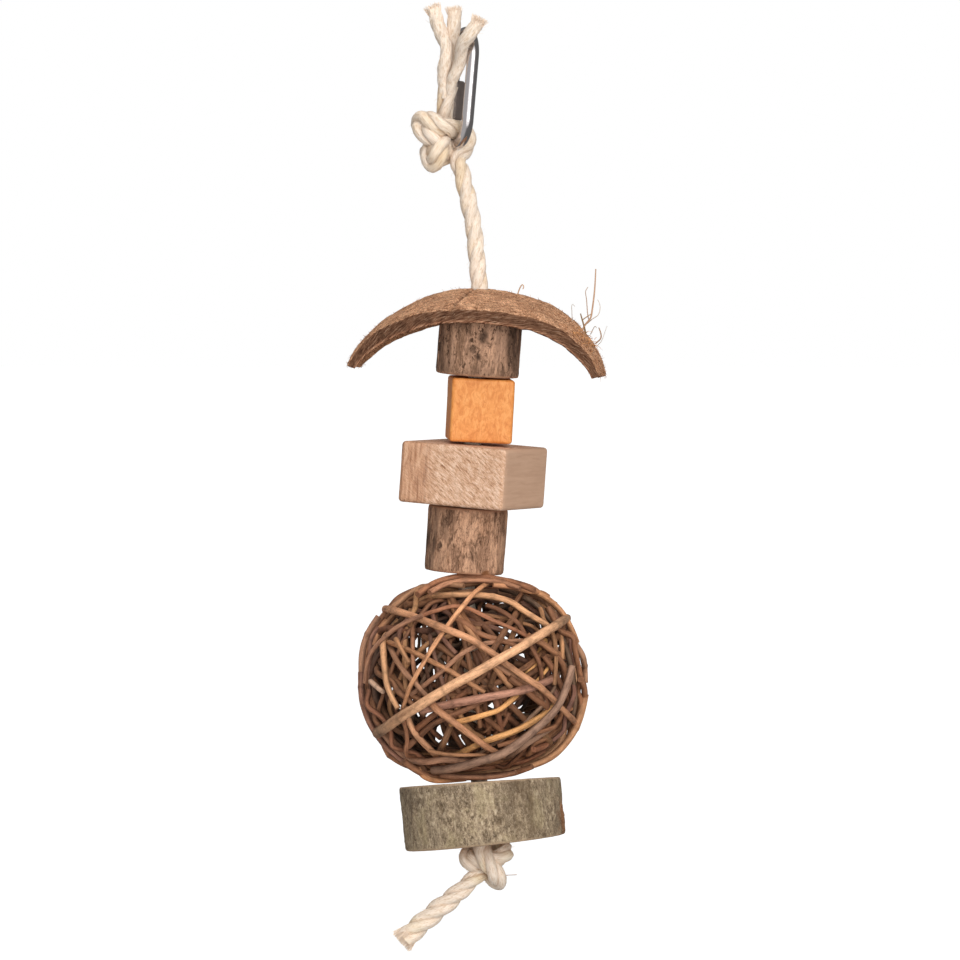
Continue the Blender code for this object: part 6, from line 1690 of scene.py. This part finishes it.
def make_rod(name, pts, dia, tone, seed, node=None, split=False, fade=0.0):
    """Willow rod: tapering, a little crooked, with buds and capped ends."""
    rng = np.random.default_rng(900 + seed)
    line = smooth(pts, 1.0)
    s = arc_length(line)
    f = s / s[-1]
    t, n, b = frames(line)
    wob = 0.10 * dia * np.stack([vnoise(np.stack([s * 0.10, np.full(len(s), 7.0 * k), np.zeros(len(s))], 1), seed) for k in (1, 2)], 1) * np.sin(math.pi * f)[:, None]
    line = clear_of_rope(line + wob[:, :1] * n + wob[:, 1:] * b, dia)
    sides = 14
    a = 2 * math.pi * np.arange(sides) / sides
    r = 0.5 * dia * (1.0 - 0.18 * f) * (1.0 + 0.05 * vnoise(np.stack([s * 0.22, np.zeros(len(s)), np.zeros(len(s))], 1), seed + 3))
    r = np.repeat(r[:, None], sides, axis=1)
    ph = rng.uniform(0, 6.28)
    r *= 1.0 + 0.045 * np.sin(2 * a[None, :] + ph + 0.03 * s[:, None]) + 0.025 * np.sin(5 * a[None, :] + 2 * ph)
    if split:
        r *= 1.0 - 0.34 * np.clip(np.cos(a[None, :] - ph), 0, 1) ** 0.6
    s0 = rng.uniform(5, 16)
    dark = np.ones(len(s))
    while s0 < s[-1] - 4:
        side = rng.uniform(0, 6.28)
        bud = np.exp(-((s - s0) / 0.75) ** 2)
        r *= 1.0 + 0.26 * bud[:, None] * np.clip(np.cos(a[None, :] - side), 0, 1) ** 2
        dark *= 1.0 - 0.35 * bud
        s0 += rng.uniform(13, 27)
    shade = dark * (1.0 + 0.20 * vnoise(np.stack([s * 0.06, np.full(len(s), 3.0), np.zeros(len(s))], 1), seed + 9))
    shade *= 1.0 - 0.25 * np.exp(-s / 2.2) - 0.25 * np.exp(-(s[-1] - s) / 2.2)
    if fade:
        shade *= 1.0 - fade * np.clip(np.abs(2.0 * f - 1.0 - 0.1) * 1.9 - 0.75, 0, 1)
    tone = np.asarray(tone) * np.array([1.18, 1.08, 1.01]) * rng.uniform(0.88, 1.14) * rng.uniform(0.97, 1.03, 3)
    t, n, b = frames(line)
    # painted shade: each rod is darkened on the side that faces into the ball
    away = (line - BALL_O) / np.linalg.norm(line - BALL_O, axis=1)[:, None]
    side = np.cos(a)[None, :, None] * n[:, None, :] + np.sin(a)[None, :, None] * b[:, None, :]
    inner = np.clip((0.45 - (side * away[:, None, :]).sum(-1)) / 1.15, 0, 1)
    col = np.ones((len(s), sides, 4))
    col[..., :3] = tone * shade[:, None, None] * (1.0 - 0.58 * inner * inner * (3 - 2 * inner))[..., None]
    shape = Shape()
    bar(shape, line, r, sides, col=col, cap=tuple(tone * (0.95 if node else 0.6)) + (1.0,), u0=float(rng.uniform(0, 50)))
    return dress(shape.object(name, [WILLOW], 50.0), "ball", "willow", *([node] if node else []))


def make_ball():
    rods = lay_ball()
    more = lay_filling(rods)
    for k, rod in enumerate(rods):
        pts = BALL_O + (rod["d"] * rod["r"][:, None]) @ BALL_M.T
        tone = FRONT_TONES[k] if k < len(FRONT_TONES) else MIXED[(3 * k) % len(MIXED)]
        make_rod("rod_%02d" % (k + 1), pts, rod["dia"], np.array(tone) * (np.array([1.09, 1.11, 1.13]) if k < len(FRONT_TONES) else 0.95), k, "willow_rod_%02d" % (k + 1), k in (21, 22), 0.42 if k == 0 else 0.0)
    for k, rod in enumerate(more):
        pts = BALL_O + (rod["d"] * rod["r"][:, None]) @ BALL_M.T
        # painted shade: shoots and filling are darker the deeper they lie in the weave
        tone = np.array(rod.get("tone", MIXED[(5 * k + 2) % len(MIXED)])) * max(0.38, 0.93 - 0.062 * rod["depth"])
        make_rod("shoot_%02d" % (k + 1), pts, rod["dia"], tone, 100 + k)
    for k, (dia, tone, line) in enumerate(END_RODS):
        make_rod("end_rod_%d" % (k + 1), smooth([at(*q) for q in line], 4.0), dia, tone, 400 + k)


# ---------------------------------------------------------------- build the pieces
make_link()
make_nut_piece()
make_rope()
make_husk_piece()
make_husk_fibres()
make_log("log_upper_piece", "log_upper", "log_upper", BARK1, LOG1_C, LOG1_LEAN, LOG1_R, LOG1_H, [(2, 0.012, 0.4), (5, 0.008, 1.0)],
         [(-85, 2.6, 1.9), (-99, -1.4, 1.3), (-90, -4.0, 0.9), (-35, 4.0, 1.3), (70, -3.0, 1.6), (150, 3.0, 1.4)], 21,
         # the entries at -168, -150 and -28 degrees darken the left and right sides: painted shade
         stains_and_edge_shade=[(-28, 2.0, 26, 14, 0.92), (-168, 0.0, 34, 18, 1.0), (-150, -6.0, 24, 7, 0.7), (-60, -9.0, 40, 3.5, 0.6), (90, 0.0, 40, 10, 0.5)])
make_square("cube_piece", "cube", "orange_cube", "orange_wood", [ORANGE, ORANGE], CUBE_C, CUBE_HOLE, CUBE_LEAN, CUBE_YAW, CUBE, CUBE, 1.2, 1.0,
            cube_wall, None, cube_face)
make_square("block_piece", "block", "wood_block", "sawn_wood", [SAWN, SAWN], BLOCK_C, BLOCK_HOLE, BLOCK_LEAN, BLOCK_YAW, BLOCK + 0.3, BLOCK_H + 0.3, 1.7, 1.25,
            block_wall, block_mask, block_face)
make_log("log_lower_piece", "log_lower", "log_lower", BARK2, LOG2_C, LOG2_LEAN, LOG2_R, LOG2_H, [(2, 0.010, 1.9), (5, 0.008, 0.2)],
         [(-130, -2.0, 1.1), (20, 2.0, 1.4), (100, -1.0, 1.5)], 33, chips=[(-55, -10.6, 7.0, 1.3)],
         # the entries at -166 and -18 degrees darken the left and right sides: painted shade
         stains_and_edge_shade=[(-166, 0.0, 40, 18, 1.0), (-120, 5.0, 14, 8, 0.5), (-75, -6.0, 12, 7, 0.5), (-18, -2.0, 16, 9, 0.5), (100, 2.0, 30, 9, 0.5)])
make_ball()
make_slice()

# ---------------------------------------------------------------- stage, light and camera
me = bpy.data.meshes.new("floor")
me.from_pydata([(-60, -60, -0.62), (60, -60, -0.62), (60, 60, -0.62), (-60, 60, -0.62)], [], [(0, 1, 2, 3)])
floor = bpy.data.objects.new("floor", me)
bpy.context.scene.collection.objects.link(floor)
fm = bpy.data.materials.new("floor_white")
fm.use_nodes = True
fb = fm.node_tree.nodes["Principled BSDF"]
fb.inputs["Base Color"].default_value = (0.6, 0.6, 0.6, 1)
fb.inputs["Roughness"].default_value = 1.0
fb.inputs["Specular IOR Level"].default_value = 0.0
fb.inputs["Emission Color"].default_value = (1, 1, 1, 1)
fb.inputs["Emission Strength"].default_value = 0.85
me.materials.append(fm)
for ray in ("diffuse", "glossy", "transmission", "volume_scatter", "shadow"):
    setattr(floor, "visible_" + ray, False)

world = bpy.data.worlds.new("studio")
bpy.context.scene.world = world
world.use_nodes = True
wt = world.node_tree
bg = wt.nodes["Background"]
bg.inputs["Color"].default_value = (1, 1, 1, 1)


def sky(kind, op=None, a=None, b=None):
    n = wt.nodes.new(kind)
    if op:
        n.operation = op
    for k, v in ((0, a), (1, b)):
        if isinstance(v, bpy.types.NodeSocket):
            wt.links.new(v, n.inputs[k])
        elif v is not None:
            n.inputs[k].default_value = v
    return n


ray = sky("ShaderNodeLightPath")
way = sky("ShaderNodeTexCoord").outputs["Generated"]
facing = sky("ShaderNodeVectorMath", "DOT_PRODUCT", way, (0.17, -0.97, 0.17)).outputs["Value"]


def lobe(lo, hi, high, toward=None):
    n = wt.nodes.new("ShaderNodeMapRange")
    n.interpolation_type = "SMOOTHSTEP"
    wt.links.new(toward or facing, n.inputs["Value"])
    for k, v in zip(("From Min", "From Max", "To Min", "To Max"), (lo, hi, 0.0, high)):
        n.inputs[k].default_value = v
    return n.outputs["Result"]


FILL_LEVEL, FRONT_LEVEL, BACK_LEVEL = 0.18, 1.10, 0.60
front, back = lobe(0.45, 0.80, FRONT_LEVEL), lobe(-0.35, -0.85, BACK_LEVEL)
shine = lobe(0.74, 0.90, 1.15)
not_glossy = sky("ShaderNodeMath", "SUBTRACT", 1.0, ray.outputs["Is Glossy Ray"]).outputs[0]
back = sky("ShaderNodeMath", "MULTIPLY", back, not_glossy).outputs[0]
front = sky("ShaderNodeMath", "MULTIPLY", front, not_glossy).outputs[0]
leftward = sky("ShaderNodeVectorMath", "DOT_PRODUCT", way, (-0.93, -0.36, 0.08)).outputs["Value"]
shine = sky("ShaderNodeMath", "ADD", shine, lobe(0.15, 0.60, 0.42, leftward)).outputs[0]
front = sky("ShaderNodeMath", "ADD", front, sky("ShaderNodeMath", "MULTIPLY", shine, ray.outputs["Is Glossy Ray"]).outputs[0]).outputs[0]
total = sky("ShaderNodeMath", "ADD", sky("ShaderNodeMath", "ADD", front, back).outputs[0], FILL_LEVEL).outputs[0]
shown = wt.nodes.new("ShaderNodeMix")
wt.links.new(ray.outputs["Is Camera Ray"], shown.inputs["Factor"])
wt.links.new(total, shown.inputs["A"])
shown.inputs["B"].default_value = 1.0
wt.links.new(shown.outputs["Result"], bg.inputs["Strength"])


def softbox(name, where, aim, size, power, colour=(1, 1, 1)):
    lamp = bpy.data.lights.new(name, "AREA")
    lamp.shape = "RECTANGLE"
    lamp.size, lamp.size_y = size
    lamp.energy = power
    lamp.color = colour
    obj = bpy.data.objects.new(name, lamp)
    obj.location = where
    obj.rotation_euler = (Vector(aim) - Vector(where)).to_track_quat("-Z", "Y").to_euler()
    bpy.context.scene.collection.objects.link(obj)
    return obj


softbox("key", (0.42, -1.9, 0.30), (0, 0, -0.15), (0.8, 1.0), 17.0)
softbox("top", (0.0, -0.3, 1.6), (0, 0, -0.15), (1.2, 1.2), 13.0)

cam = bpy.data.cameras.new("camera")
cam.sensor_width = 36.0
cam.lens = 36.0 * 3000.0 / 320.0
cam.clip_end = 500.0
eye = bpy.data.objects.new("camera", cam)
eye.location = ((480 - ZERO[0]) / GRID * MM, -3.0 * math.cos(VIEW_TILT), -(480 - ZERO[1]) / GRID * MM + 3.0 * math.sin(VIEW_TILT))
eye.rotation_euler = (math.radians(90) - VIEW_TILT, 0, 0)
bpy.context.scene.collection.objects.link(eye)
bpy.context.scene.camera = eye
bpy.context.scene.view_settings.view_transform = "Standard"
